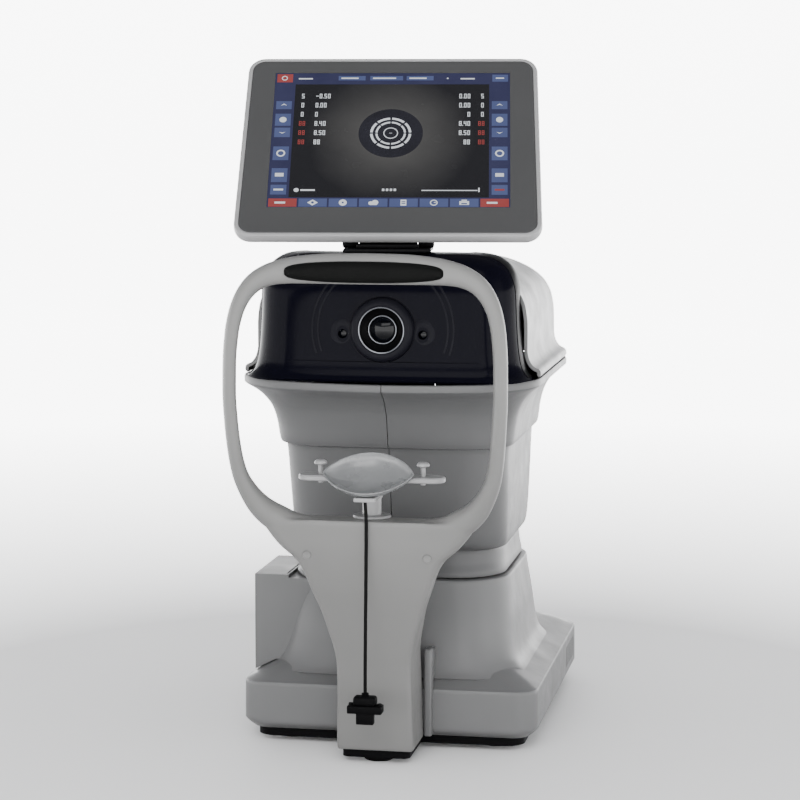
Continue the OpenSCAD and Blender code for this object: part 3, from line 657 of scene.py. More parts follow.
def make_collar():
    keys = [
        [146.4, 92.6, 100.5, 286, 42, 0],
        [146.5, 93.4, 98.6, 288, 44, 2],
        [148, 93.4, 98.4, 288, 44, 2],
        [158, 91.9, 100.2, 286, 44, 2],
        [170.5, 90, 101.8, 284.6, 43, 2],
        [171.5, 87.6, 104.4, 282, 40, 1],
        [172.5, 86, 106, 280, 36, 0],
        [203, 86, 106, 280, 36, 0]]
    bm = loft(eased(keys, 2.0), cap_low=True)
    thicken(bm, 2.2)
    bm = carve(bm, round_box((-22.1, AXIS_Y - 22.1, 140), (22.1, AXIS_Y + 22.1, 160), 0.2))
    # The collar takes the darkest copy of the case plastic, painted shade from the head above it
    stand_in("turret_collar", bm, "collar", "x_stage")


# ---- measuring head

FLARE_Z = 268  # where the lower covers start to flare out to the brim
BRIM_Z = 325
BRIM_TOP = 328
BRIM_HW = 132
BRIM_FRONT = 33


def brim_rise(x, y, z):
    """The brim bows down at the front and lifts a little towards the rear."""
    if z < FLARE_Z:
        return x, y, z
    share = (z - FLARE_Z) / (BRIM_Z - FLARE_Z)
    lift = -3.5 * max(0.0, 1 - (y - BRIM_FRONT) / 60) * (1 - (x / BRIM_HW) ** 2) + 0.6
    return x, y, min(z + share * lift, BRIM_TOP)


HEAD_KEYS = [
    [171, 92.5, 99, 287, 36, 2],
    [172, 94.6, 96.5, 289.6, 38, 2],
    [178, 96.4, 90, 294, 40, 3],
    [190, 97.3, 86, 297.5, 40, 3],
    [230, 98.8, 78, 301.5, 40, 3],
    [262.5, 100, 71.4, 303.8, 40, 3],
    [265, 100.6, 70.6, 304.4, 40, 3],
    [266.2, 104.2, 67, 307.6, 41, 3],
    [268, 105, 66, 308, 41, 3],
    [285, 107.5, 62, 309, 42, 3],
    [298, 111, 57.5, 310.2, 43, 3],
    [308, 116.5, 50, 311.4, 44, 3],
    [314, 122, 43.5, 312.6, 46, 3],
    [318, 127, 38, 313.8, 47, 3],
    [320, 130, 35.2, 314.6, 48, 3],
    [321.5, 131.7, 33.8, 315, 49, 3],
    [323, 132, 33.6, 315, 50, 3],
    [326, 132, 33.6, 315, 50, 3],
    [327.4, 131.4, 34, 314.6, 50, 3],
    [328, 129.8, 35.4, 313.4, 49, 3]]


def make_head_shell():
    """Two lower covers that meet on the centre line with a fine gap."""
    for side, name in ((-1, "left"), (1, "right")):
        bm = loft(eased(HEAD_KEYS, 2.6), n=14, m=14, shape=brim_rise)
        cut_flat(bm, (side * 0.35, 0, 0), (-side, 0, 0))
        thicken(bm, 2.6)
        # The lower covers take the darker copy of the case plastic, painted shade from the brim above them
        stand_in(f"head_cover_{name}", bm, "head", "head")


MASK_REAR = 76
MASK_KEYS = [
    [328.6, 126.5, 35.4, 130, 36, 3],
    [330, 124.2, 36.6, 130, 35, 3],
    [335, 120, 39, 130, 33, 3],
    [344, 117.2, 40.4, 130, 32, 3],
    [360, 115, 41, 130, 31, 3],
    [384, 113.4, 41.6, 130, 30, 3],
    [404, 113, 43, 130, 30, 3],
    [416, 111, 45.4, 130, 30, 3],
    [425, 106.5, 48.6, 130, 28, 3],
    [431, 100, 52.6, 130, 25, 3],
    [435, 92, 57.4, 130, 22, 2],
    [436.6, 84, 62, 130, 18, 1],
    [437, 74, 68, 130, 14, 0]]
LENS_Z = 372
WINDOW_Y = 31  # front of the bezel round the lens
SENSOR_X, SENSOR_Z = 35, LENS_Z - 4


def make_mask():
    bm = loft(eased(MASK_KEYS, 2.4), cap_high=True, n=14, m=16)
    cut_flat(bm, (0, MASK_REAR, 0), (0, 1, 0))
    thicken(bm, 3)
    holes = [rod((0, 0, LENS_Z), "y", 28.3, 15, 75, 72)]
    holes += [rod((side * SENSOR_X, 0, SENSOR_Z), "y", 4, 15, 75, 32) for side in (-1, 1)]
    # The groove across the foot of the mask
    holes.append(round_box((-104, 30, 344), (104, 39.1, 345), 0.2, 1))
    stand_in("front_mask", carve(bm, *holes), "gloss", "head")
    trim_keys = [[z, hw + 0.5, y0, 130, r, 0] for z, hw, y0, _, r, _ in MASK_KEYS[1:]]
    trim_keys[-1][0] += 0.3
    bm = loft(eased(trim_keys, 3), n=14, m=16)
    cut_flat(bm, (0, MASK_REAR + 3, 0), (0, 1, 0))
    cut_flat(bm, (0, MASK_REAR - 13, 0), (0, -1, 0))
    thicken(bm, 1.5)
    piece("mask_edge_band", bm, "side", "head")


def mask_front(x, z):
    """Layout y of the mask's front skin at a point near its middle."""
    for a, b in zip(MASK_KEYS, MASK_KEYS[1:]):
        if a[0] <= z <= b[0]:
            t = (z - a[0]) / (b[0] - a[0])
            hw = a[1] + (b[1] - a[1]) * t
            y0 = a[2] + (b[2] - a[2]) * t
            return y0 - 3 * (1 - (x / hw) ** 2)
    return MASK_KEYS[0][2]


def make_window():
    """Bezel, metal ring, lens and the sensor windows beside them."""

    def turned_part(profile, steps=96):
        return lathe((0, WINDOW_Y, LENS_Z), "y", profile, steps)

    bezel = [(20.1, 0.6), (21, 0.1), (24, 0), (26, 1.2), (27.4, 3.4), (28, 7), (28, 14), (20.1, 14)]
    stand_in("lens_bezel", turned_part(bezel), "hood", "head")
    outer = [(19.2, 0.9), (19.9, 0.7), (20, 1.2), (20, 14), (18.9, 14), (18.9, 1.4)]
    inner = [(11.7, 6.5), (12.2, 6.4), (12.3, 7), (12.3, 13), (11.5, 13), (11.5, 7.2)]
    stand_in("mire_ring", merged(turned_part(outer), turned_part(inner)), "ring", "head")
    funnel = [(18.9, 2), (17.4, 4.2), (14.8, 6.8), (12.4, 8.2), (12.4, 13), (18.9, 13)]
    piece("window_funnel", turned_part(funnel), "black", "head")
    lens = [(0, 7.6), (3, 7.9), (6, 8.6), (9, 9.7), (11.4, 10.8), (11.4, 12.6), (0, 14)]
    stand_in("objective_lens", turned_part(lens, 72), "lens", "head")
    pane = [(0, 40.6), (2, 40.8), (3.8, 41.6), (3.8, 52), (0, 52)]
    rim = [(4.1, 39.4), (5.2, 38.4), (6, 38.2), (10.4, 38.6), (11.6, 39.4), (12, 41.5), (4.1, 41.5)]
    panes, hoods = [], []
    for side in (-1, 1):
        centre = (side * SENSOR_X, 0, SENSOR_Z)
        panes.append(lathe(centre, "y", pane, 32))
        hood = lathe(centre, "y", rim, 48)
        # The hoods are a quarter taller than wide
        for v in hood.verts:
            v.co.z = SENSOR_Z * MM + (v.co.z - SENSOR_Z * MM) * 1.25
        hoods.append(hood)
    stand_in("sensor_windows", merged(*panes), "lens", "head")
    piece("sensor_hoods", merged(*hoods), "hood", "head")
    # Two raised arcs round the window; lift is how far a corner stands off the mask's skin
    arcs = []
    for radius in (56, 61):
        rows = []
        for i in range(65):
            a = math.radians(200 - 220 * i / 64)
            row = []
            for r, lift in ((radius, -0.6), (radius, 0.4), (radius + 1.6, 0.4), (radius + 1.6, -0.6)):
                x, z = r * math.cos(a), LENS_Z + r * math.sin(a)
                row.append((x, mask_front(x, z) - lift, z))
            rows.append(row)
        arcs.append(stack(rows, as_is))
    piece("mask_arcs", merged(*arcs), "hood", "head")


TOP_KEYS = [
    [328.9, 129.6, 0, 313, 48, 0],
    [329.6, 131, 0, 314.4, 48, 0],
    [331.5, 131.8, 0, 315, 48, 0],
    [334.4, 131.4, 0, 314.8, 48, 0],
    [336, 130, 0, 314, 48, 0],
    [337.6, 126.4, 0, 312.4, 45, 0],
    [341, 123.2, 0, 310.6, 43, 0],
    [346, 121, 0, 309.4, 42, 0],
    [352, 120, 0, 308, 41, 0],
    [372, 120, 0, 304.4, 40, 0],
    [388, 118.4, 0, 298.6, 40, 0],
    [400, 114, 0, 290, 39, 0],
    [410, 106, 0, 277, 37, 0],
    [418, 95, 0, 262, 34, 0],
    [424, 82, 0, 246, 30, 0],
    [427.6, 68, 0, 230, 26, 0],
    [429, 52, 0, 214, 22, 0]]


def make_top_cover():
    bm = loft(eased(TOP_KEYS, 2.8), cap_high=True, n=14, m=14)
    cut_flat(bm, (0, MASK_REAR + 3.6, 0), (0, -1, 0))
    thicken(bm, 3)
    holes = [rod((*SWIVEL, 0), "z", 10.2, 400, 450, 48)]
    for k in range(9):
        x = -36 + 9 * k
        holes.append(round_box((x - 1.5, 280, 352), (x + 1.5, 330, 382), 1.2))
    stand_in("head_top_cover", carve(bm, *holes), "cover", "head")
    baffle = round_box((-42, 296, 348), (42, 298, 386), 0.5)
    piece("vent_baffle", baffle, "black", "head")


# ---- screen

TILT = math.radians(42.5)
FACE_Y = 54
FACE_Z = 451.3
SCREEN_W = 268
SCREEN_H = 210
TAPER = 6
DISPLAY_W = 212
DISPLAY_H = 159
DISPLAY_FOOT = 32.5
SWIVEL = (-4, 88)
HOME_TURN = math.radians(8.5)
PIVOT = (84, 449.5)


def turned(x, y, z):
    """From square with the head to the way the screen stands on its swivel."""
    c, s = math.cos(HOME_TURN), math.sin(HOME_TURN)
    y -= SWIVEL[1]
    return SWIVEL[0] + x * c - y * s, SWIVEL[1] + x * s + y * c, z


def lean(x, y, z):
    """From the screen lying face up, its lower edge at y = 0, to where it stands."""
    return turned(x, FACE_Y + y * math.sin(TILT) - z * math.cos(TILT),
                  FACE_Z + y * math.cos(TILT) + z * math.sin(TILT))


def screen_ring(grow, z, r):
    """Outline of the housing, grown or shrunk, at depth z; it narrows a little towards the top."""
    low, high = SCREEN_W / 2 + grow, (SCREEN_W - TAPER) / 2 + grow
    ring = []
    y0, y1 = -grow, SCREEN_H + grow
    for x, y in corner_points(low, y0, y1, r, 10, 8):
        share = (y - y0) / (y1 - y0)
        ring.append((x * (1 - share * (1 - high / low)), y, z))
    return ring


def slab_ring(hw, y0, y1, r, z):
    return [(x, y, z) for x, y in corner_points(hw, y0, y1, r, 8, 4)]


def make_screen():
    # Rear shell: rounded rim, dished back and a raised middle, open at the front
    shell = [screen_ring(g, z, 16 + g) for g, z in (
        (-4.2, -3.6), (-4.2, -0.4), (-3.6, 0), (-2, 0), (-0.7, -0.8), (-0.1, -2.4), (0, -4.5), (0, -7),
        (-0.6, -9.2), (-2.2, -11), (-5, -11.9), (-9, -12))]
    shell.insert(0, screen_ring(-4.2, -8, 11.8))
    bm = stack(shell, lean)
    bulge = stack([slab_ring(93, 24, 180, 14, -11.5), slab_ring(92, 25, 179, 14, -12.5),
                   slab_ring(86, 31, 172, 13, -18), slab_ring(81, 36, 167, 11, -22.6),
                   slab_ring(78, 39, 164, 9, -24)], lean)
    slots = [round_box((-50, y, -26), (50, y + 2.6, -22.4), 0.8, 2, turn=lean) for y in range(70, 118, 6)]
    piece("screen_back_piece", merged(bm, carve(bulge, *slots)), "light", "screen")
    barrel = [(2.05, -25.4), (6.4, -25.4), (7, -24.8), (7, 24.8), (6.4, 25.4), (2.05, 25.4)]
    knuckle = lathe((0, *PIVOT), "x", barrel, 48, turn=turned)
    arm = round_box((-20, 79.5, 451), (20, 89.5, 470), 2, turn=turned)
    piece("screen_knuckle", merged(knuckle, arm), "side", "screen", stands_for=("screen_back",))
    # Bezel with the display's opening
    levels = ((-4.3, -4, 11.7), (-4.3, -0.5, 11.7), (-4.9, 0, 11.2))
    bezel = stack([screen_ring(*level) for level in levels], lean)
    half, foot, head = DISPLAY_W / 2, DISPLAY_FOOT, DISPLAY_FOOT + DISPLAY_H
    window = round_box((-half, foot, -9), (half, head, 6), 0.4, 2, turn=lean)
    stand_in("screen_bezel", carve(bezel, window), "bezel", "screen")
    centre = at(*lean(0, foot + DISPLAY_H * 0.53, -1))
    M["picture"] = ("display", eye_picture("live_picture", centre, 0.085))
    pane = round_box((-half + 0.1, foot + 0.1, -4), (half - 0.1, head - 0.1, -1), 0.2, 1, turn=lean)
    stand_in("touch_glass", pane, "picture", "screen")
    make_display()


LAYER = 0.12  # each layer of the display's drawing stands this much proud of the one under it
POINT_WIDTH = 0.0048
FIGURE_WIDTH = 0.0152


class Drawing:
    """Flat shapes on the display, gathered by colour.

    u runs right and v up, both from 0 to 1; radii are shares of the display's height. Every u counts
    from start, so that a sign is drawn about its own middle.
    """

    def __init__(self):
        self.shapes = {key: bmesh.new() for key in ("navy", "blue", "white", "red", "black")}
        self.start = 0.0

    def polygon(self, colour, points, layer):
        bm = self.shapes[colour]
        rows = []
        for depth in (-1.0 + LAYER * (layer - 1), -1.0 + LAYER * layer):
            row = []
            for u, v in points:
                spot = ((self.start + u - 0.5) * DISPLAY_W, DISPLAY_FOOT + v * DISPLAY_H, depth)
                row.append(bm.verts.new(at(*lean(*spot))))
            rows.append(row)
        skin(bm, rows)
        bm.faces.new(rows[1])
        bm.faces.new(list(reversed(rows[0])))

    def bar(self, colour, u0, v0, u1, v1, layer=1):
        self.polygon(colour, [(u0, v0), (u1, v0), (u1, v1), (u0, v1)], layer)

    def round(self, u, v, r, turn):
        return u + r * DISPLAY_H / DISPLAY_W * math.cos(turn), v + r * math.sin(turn)

    def disc(self, colour, u, v, r, layer=1, steps=36):
        turns = [2 * math.pi * i / steps for i in range(steps)]
        self.polygon(colour, [self.round(u, v, r, turn) for turn in turns], layer)

    def ring(self, colour, u, v, r0, r1, layer=1, steps=48, first=0, last=360):
        turns = [math.radians(first + (last - first) * i / steps) for i in range(steps + 1)]
        for a, b in zip(turns, turns[1:]):
            corners = ((r0, a), (r1, a), (r1, b), (r0, b))
            self.polygon(colour, [self.round(u, v, r, turn) for r, turn in corners], layer)

    def figure(self, colour, u, v, value):
        """One figure out of seven strokes."""
        w, h, t = 0.0112, 0.034, 0.0046
        left, right, middle = (u, u + t * 0.75), (u + w - t * 0.75, u + w), v + h / 2
        strokes = {
            "a": (u, v + h - t, u + w, v + h), "g": (u, middle - t / 2, u + w, middle + t / 2),
            "d": (u, v, u + w, v + t), "f": (left[0], middle, left[1], v + h),
            "b": (right[0], middle, right[1], v + h), "e": (left[0], v, left[1], middle),
            "c": (right[0], v, right[1], middle)}
        for key in {"0": "abcdef", "4": "fgbc", "5": "afgcd", "8": "abcdefg", "-": "g"}[value]:
            self.bar(colour, *strokes[key])

    def number(self, colour, u, v, text):
        for letter in text:
            if letter == ".":
                self.bar(colour, u - 0.001, v, u + 0.002, v + 0.005)
                u += POINT_WIDTH
            else:
                self.figure(colour, u, v, letter)
                u += FIGURE_WIDTH

    def finish(self):
        for key, bm in self.shapes.items():
            piece(f"display_{key}_shapes", bm, f"display_{key}", "screen", 20)


def draw_buttons(d):
    """The bars round the picture and the buttons on them."""
    for edges in ((0, 0.915, 1, 1), (0, 0.075, 0.088, 0.915), (0.912, 0.075, 1, 0.915), (0, 0, 1, 0.075)):
        d.bar("navy", *edges)
    d.bar("red", 0.008, 0.93, 0.075, 0.992, 2)
    d.ring("white", 0.04, 0.961, 0.012, 0.017, 3, 24)
    for u0, u1 in ((0.1, 0.16), (0.79, 0.85)):
        d.bar("white", u0, 0.953, u1, 0.962, 2)
    for u0, u1 in ((0.27, 0.385), (0.405, 0.545), (0.56, 0.675)):
        d.bar("blue", u0, 0.945, u1, 0.978, 2)
        d.bar("white", u0 + 0.012, 0.956, u1 - 0.03, 0.965, 3)
    d.disc("white", 0.735, 0.96, 0.005, 2, 16)
    d.bar("blue", 0.925, 0.935, 0.992, 0.988, 2)
    d.bar("white", 0.94, 0.957, 0.975, 0.965, 3)
    for d.start, last_sign in ((0.044, "white"), (0.956, "red")):
        for v, tall in ((0.755, 0.06), (0.645, 0.09), (0.55, 0.07), (0.395, 0.1), (0.235, 0.1), (0.13, 0.07)):
            d.bar("blue", -0.033, v - tall / 2, 0.033, v + tall / 2, 2)
        d.polygon("white", [(-0.013, 0.752), (0, 0.766), (0.013, 0.752), (0, 0.758)], 3)
        d.disc("white", 0, 0.645, 0.02, 3, 24)
        d.polygon("white", [(-0.013, 0.553), (0, 0.541), (0.013, 0.553), (0, 0.547)], 3)
        d.ring("white", 0, 0.395, 0.016, 0.025, 3, 24)
        d.bar("white", -0.018, 0.225, 0.018, 0.25, 3)
        d.bar(last_sign, -0.02, 0.124, 0.02, 0.136, 3)
    d.start = 0.0


# The sign on each tile along the foot of the display, as calls of Drawing's shapes
BAR_SIGN = [(Drawing.bar, "white", -0.032, 0.03, 0.012, 0.043, 3)]
TILE_SIGNS = (
    BAR_SIGN,
    [(Drawing.polygon, "white", [(0, 0.016), (0.022, 0.037), (0, 0.058), (-0.022, 0.037)], 3),
     (Drawing.disc, "blue", 0, 0.037, 0.008, 4, 20)],
    [(Drawing.disc, "white", 0, 0.037, 0.022, 3, 28), (Drawing.disc, "blue", 0, 0.037, 0.006, 4, 20)],
    [(Drawing.disc, "white", -0.01, 0.033, 0.013, 3, 20), (Drawing.disc, "white", 0.008, 0.038, 0.018, 3, 24),
     (Drawing.bar, "white", -0.012, 0.02, 0.016, 0.03, 3)],
    [(Drawing.bar, "white", -0.012, 0.016, 0.012, 0.058, 3),
     (Drawing.bar, "blue", -0.008, 0.04, 0.008, 0.046, 4),
     (Drawing.bar, "blue", -0.008, 0.028, 0.008, 0.034, 4)],
    [(Drawing.ring, "white", 0, 0.037, 0.015, 0.021, 3, 28),
     (Drawing.bar, "white", 0, 0.036, 0.009, 0.041, 4)],
    [(Drawing.bar, "white", -0.02, 0.022, 0.02, 0.048, 3),
     (Drawing.bar, "blue", -0.012, 0.026, 0.012, 0.034, 4),
     (Drawing.bar, "white", -0.011, 0.05, 0.011, 0.058, 3)],
    BAR_SIGN)


def draw_tiles(d):
    for k, sign in enumerate(TILE_SIGNS):
        d.start = 0.064 + k * 0.1245
        d.bar("red" if sign is BAR_SIGN else "blue", -0.058, 0.008, 0.059, 0.066, 2)
        for shape, *numbers in sign:
            shape(d, *numbers)
    d.start = 0.0


def draw_figures(d):
    """Six rows of figures on both sides of the eye, the lower three with red labels."""
    rows = (("5", "-0.50", "0.00"), ("0", "0.00", "0.00"), ("0", "0", "0"),
            ("88", "8.40", "8.40"), ("88", "8.50", "8.50"), ("88", "88", "88"))
    for k, (label, left, right) in enumerate(rows):
        v = 0.808 - k * 0.069
        red = len(label) > 1
        d.number("red" if red else "white", 0.112 if red else 0.118, v, label)
        d.number("red" if red else "white", 0.866 if red else 0.878, v, label)
        d.number("white", 0.178, v, left)
        width = sum(POINT_WIDTH if letter == "." else FIGURE_WIDTH for letter in right)
        d.number("white", 0.836 - width, v, right)


def make_display():
    """A plain measuring screen: bars, tiles with simple signs, figures, and an eye with its rings."""
    d = Drawing()
    draw_buttons(d)
    draw_tiles(d)
    draw_figures(d)
    # The eye: dark pupil, rings of light and the crosshair
    u, v = 0.5, 0.545
    d.disc("black", u, v, 0.18, 1, 64)
    for r0, r1 in ((0.101, 0.115), (0.074, 0.085)):
        for k in range(8):
            d.ring("white", u, v, r0, r1, 2, 10, 45 * k + 3, 45 * k + 42)
    d.ring("white", u, v, 0.036, 0.041, 2, 32)
    d.bar("white", u - 0.006, v - 0.001, u + 0.006, v + 0.001, 2)
    # Foot of the picture: small marks and the level bar
    d.disc("white", 0.118, 0.128, 0.014, 1, 24)
    d.bar("white", 0.135, 0.122, 0.195, 0.133)
    for k in range(4):
        d.bar("white", 0.472 + 0.016 * k, 0.122, 0.482 + 0.016 * k, 0.138)
    d.bar("white", 0.635, 0.123, 0.865, 0.129)
    d.bar("white", 0.868, 0.115, 0.874, 0.145)
    d.finish()


def make_swivel():
    plate = [(0, 437.6), (38.4, 437.6), (39, 438.2), (39, 439.6), (38, 440.6), (0, 440.6)]
    y = SWIVEL[1]
    block = merged(
        round_box((-38, 48, 437.6), (38, y, 440.6), 1.2, turn=turned),
        round_box((-27, 66.5, 439.8), (27, 70.5, 444), 0.8, turn=turned),
        lathe((0, y, 0), "z", plate, 72, turn=turned),
        rod((0, y, 0), "z", 5.9, 418, 440, 40, turn=turned))
    ears = []
    for s in (-1, 1):
        low, high = (s * 33 - 7, PIVOT[0] - 7, 439.6), (s * 33 + 7, PIVOT[0] + 7, PIVOT[1] + 6)
        ear = round_box(low, high, 2.2, turn=turned)
        ears.append(carve(ear, rod((0, *PIVOT), "x", 2, -60, 60, 32, turn=turned)))
    stand_in("swivel_block", merged(block, *ears), "side", "swivel")
    caps = []
    for s in (-1, 1):
        cap = [(0, s * 1.2), (3.6, s * 1.2), (4.6, 0.4 * s), (4.6, -0.4 * s), (0, -0.4 * s)]
        caps.append(lathe((s * 40.4, *PIVOT), "x", cap, 36, turn=turned))
    piece("hinge_caps", merged(*caps), "light", "swivel")


# ---- headrest

POST_Y = -9
SCREW_X, SCREW_Z = 51.5, 187
# Levels of the column: the plain shaft flares into two wings that carry the arms
COLUMN_KEYS = [
    [11.8, 32.6, 1, 54, 3, 0],
    [13, 33.5, 0.2, 54.4, 3.6, 0],
    [60, 32.4, -3.6, 54.4, 3.6, 0.4],
    [88, 32.2, -7, 50, 3.8, 0.6],
    [102, 34, -10, 42, 4, 0.8],
    [118, 38, -14.2, 31, 4, 1],
    [135, 42.6, -19, 20, 4.6, 1.5],
    [154, 50, -24.6, 9, 5.4, 2],
    [170, 56, -28.6, 4, 6.4, 2],
    [182, 63.4, -31, 1, 9, 2],
    [194, 76.5, -33, -2, 9, 2],
    [205, 85.5, -34, -5, 9, 2],
    [215.5, 91.5, -35, -8, 9, 2],
    [217.5, 92, -34.6, -9, 8, 2]]
# Centre line of one arm and half of the arch: [x, y, z, width across, depth, turn towards the middle]
ARM_KEYS = [
    [40, -21, 208.5, 18, 26, 0], [62, -21.5, 210.5, 20, 26, 0], [79, -23.5, 216.5, 23, 25, 2],
    [92, -27.5, 226.5, 20, 24, 6], [101.5, -32.5, 240.5, 16, 23, 10], [107.8, -37, 256, 13.4, 22, 14],
    [111.2, -41, 276, 12.2, 21, 17], [113.2, -44, 300, 11.8, 20, 18], [114.4, -45, 325, 11.6, 20, 18],
    [114.2, -44.6, 350, 11.6, 20, 18], [112.6, -43, 374, 12, 20, 18], [109.2, -41, 392, 12.8, 20, 16],
    [102.4, -39, 407.4, 14.4, 20, 13], [91.6, -37.4, 418.6, 16.8, 20, 9], [77, -36.4, 424.8, 19.6, 20, 5],
    [58, -35.6, 427.6, 23, 20, 2], [30, -35.1, 428.8, 25.6, 20, 0], [0, -35, 429, 26.2, 20, 0]]


def sweep_oval(keys, sides=28, power=2.3):
    """Oval rod through a list of centres, with flattened faces where power is over 2."""
    rings = []
    for k, (x, y, z, width, depth, turn) in enumerate(keys):
        a, b = keys[max(k - 1, 0)], keys[min(k + 1, len(keys) - 1)]
        along = Vector((b[0] - a[0], b[1] - a[1], b[2] - a[2])).normalized()
        back = Vector((0, 1, 0))
        across = along.cross(back).normalized()
        back = across.cross(along).normalized()
        spin = Matrix.Rotation(math.radians(turn), 3, along)
        across, back = spin @ across, spin @ back
        ring = []
        for i in range(sides):
            t = 2 * math.pi * i / sides
            u = power_of(math.cos(t), 2 / power) * width / 2
            v = power_of(math.sin(t), 2 / power) * depth / 2
            ring.append(Vector((x, y, z)) + across * u + back * v)
        rings.append(ring)
    return stack(rings, as_is)


def make_headrest():
    half = eased(ARM_KEYS, 3.0)
    other = [[-x, y, z, w, d, -turn] for x, y, z, w, d, turn in reversed(half[:-1])]
    arch = sweep_oval(half + other)
    column = loft(eased(COLUMN_KEYS, 3.0), cap_low=True, cap_high=True, n=6, m=10)
    obj = solid_object(merged(column, arch))
    remesh = obj.modifiers.new("join", "REMESH")
    remesh.mode = "VOXEL"
    remesh.voxel_size = 1.5 * MM
    smooth = obj.modifiers.new("soften", "SMOOTH")
    smooth.factor = 0.5
    smooth.iterations = 4
    bm = with_modifiers(obj)
    bore = rod((0, POST_Y, 0), "z", 8.4, 142, 240, 40)
    # Fitted bed for the pad, and screw holes
    bed = pad_stack(((1.0, -60), (1.0, -42.5)), 0.5)
    holes = [rod((s * SCREW_X, 0, SCREW_Z), "y", 4.1, -60, -32.4, 32) for s in (-1, 1)]
    bm = carve(bm, bore, bed, *holes)
    piece("headrest_piece", bm, "column", "base", 50, stands_for=("headrest_column", "headrest_frame"))


def make_headrest_details():
    cap = [(0, -32.6), (2.4, -32.6), (3, -32.9), (3.5, -32.9), (3.7, -32.6), (3.7, -31.4), (0, -31.4)]
    caps = [lathe((s * SCREW_X, 0, SCREW_Z), "y", cap, 32) for s in (-1, 1)]
    stand_in("screw_caps", merged(*caps), "column", "base")
    flange = [(8.05, 217.4), (16, 217.4), (16.2, 218), (15.6, 219.2), (12, 219.7), (8.05, 219.7)]
    stand_in("post_flange", lathe((0, POST_Y, 0), "z", flange, 64), "light", "base")
    keys = [[22, 28.6, 46, 55.6, 3, 0], [23, 29.4, 46, 56.4, 3, 0], [76, 28.6, 46, 56, 3, 0],
            [79, 28, 46, 54.2, 3, 0]]
    cover = loft(eased(keys, 3), cap_low=True, cap_high=True, n=4, m=8)
    slots = [round_box((-16, 52, 30 + 6 * k), (16, 60, 32.4 + 6 * k), 0.6, 2) for k in range(7)]
    stand_in("column_back", carve(cover, *slots), "column", "base")


def pad_stack(levels, grow=0.0):
    """Long lens shape with a flattish foot edge, through levels of (share of its full size, y)."""
    hw, low, high, middle = 66.5 + grow, 417.8 - grow, 435.4 + grow, 426.2
    rings = []
    steps = 96
    for share, y in levels:
        ring = []
        for i in range(steps):
            t = 2 * math.pi * i / steps
            x = power_of(math.cos(t), 0.86) * hw
            tall = (high - middle) if math.sin(t) > 0 else (middle - low)
            z = power_of(math.sin(t), 0.62) * tall
            ring.append((x * (1 - (1 - share) * 0.2), y + 0.5 * (1 - share), middle + z * share))
        rings.append(ring)
    return stack(rings, as_is)


def make_pad():
    """Forehead pad, crowned and rolled at its rim."""
    bm = pad_stack(((1.0, -42.6), (1.0, -44.4), (0.985, -45.6), (0.95, -46.8), (0.88, -48), (0.76, -49.2),
                    (0.58, -50.2), (0.36, -50.8), (0.15, -51)))
    pad = stand_in("forehead_pad", bm, "pad", "base")


# ---- chin rest

PLATE_Z = 248.5
PIN_X, PIN_Y = 44, POST_Y - 1
CUP = (0, -26, 257)
CUP_TILT = math.radians(34)
CUP_LONG, CUP_WIDE, CUP_DEEP = 39, 26, 12.8


def cup_turn(x, y, z):
    """From a bowl lying level at the origin to its place, leaning towards the patient."""
    c, s = math.cos(CUP_TILT), math.sin(CUP_TILT)
    return CUP[0] + x, CUP[1] + y * c - z * s, CUP[2] + y * s + z * c


def make_cup():
    """Oval bowl with pointed ends and a rolled rim."""
    rings = []
    sides = 72
    outer = [(0.02, -12.8), (0.25, -12.4), (0.45, -11.5), (0.65, -9.8), (0.8, -7.8), (0.9, -5.6),
             (0.965, -3.2), (0.99, -1.2), (1.0, 0)]
    inner = [(0.985, 0.4), (0.955, 0), (0.93, -1.4), (0.88, -3.6), (0.78, -6), (0.64, -8), (0.45, -9.5),
             (0.25, -10.3), (0.02, -10.5)]
    for share, z in outer + inner:
        ring = []
        for i in range(sides):
            t = 2 * math.pi * i / sides
            x = CUP_LONG * share * math.cos(t)
            y = CUP_WIDE * share * power_of(math.sin(t), 1.5)
            ring.append((x, y, z))
        rings.append(ring)
    bm = stack(rings, turn=cup_turn)
    stand_in("chin_cup", bm, "cup", "chin_rest")


def bowl_shape(grow):
    """The space that the cup sits in, with grow millimetres to spare."""
    bm = bmesh.new()
    bmesh.ops.create_uvsphere(bm, u_segments=64, v_segments=32, radius=1)
    size = Vector((CUP_LONG + grow, CUP_WIDE + grow, CUP_DEEP + grow))
    for v in bm.verts:
        v.co = at(*cup_turn(*(v.co * size)))
    return bm


def make_chin_details():
    rings = []
    for inset, z in ((0.8, 0), (0, 0.9), (0, 3.6), (0.9, 4.6)):
        outline = corner_points(63 - inset, POST_Y - 12 + inset, POST_Y + 10 - inset, 11 - inset, 10, 6)
        rings.append([(x, y, PLATE_Z + z) for x, y in outline])
    holes = [rod((s * PIN_X, PIN_Y, 0), "z", 2.05, 240, 270, 24) for s in (-1, 1)]
    plate = carve(stack(rings, as_is), bowl_shape(0.3), *holes)
    sleeve = [(0, 236.5), (10.4, 236.5), (11, 237.2), (11, 250), (0, 250)]
    collar = carve(lathe((0, POST_Y, 0), "z", sleeve, 48), bowl_shape(0.3))
    tongue = round_box((-9, -44, 235), (9, POST_Y - 9.4, 238.5), 0.7)
    stand_in("chin_plate", merged(plate, collar, tongue), "light", "chin_rest")
    post = [(0, 160), (7.6, 160), (8, 160.6), (8, 233.9), (8.9, 234.3), (9, 236.2), (0, 236.4)]
    stand_in("chin_post", lathe((0, POST_Y, 0), "z", post, 48), "light", "chin_rest")
    pin = [(0, 245.6), (1.6, 245.6), (2, 246), (2, 260.6), (3.2, 261.4), (5.2, 261.8),
           (5.5, 262.6), (5.2, 263.8), (3.9, 265.1), (1.8, 265.5), (0, 265.5)]
    for s, name in ((-1, "left"), (1, "right")):
        stand_in(f"paper_pin_{name}", lathe((s * PIN_X, PIN_Y, 0), "z", pin, 32), "light", f"pin_{name}")


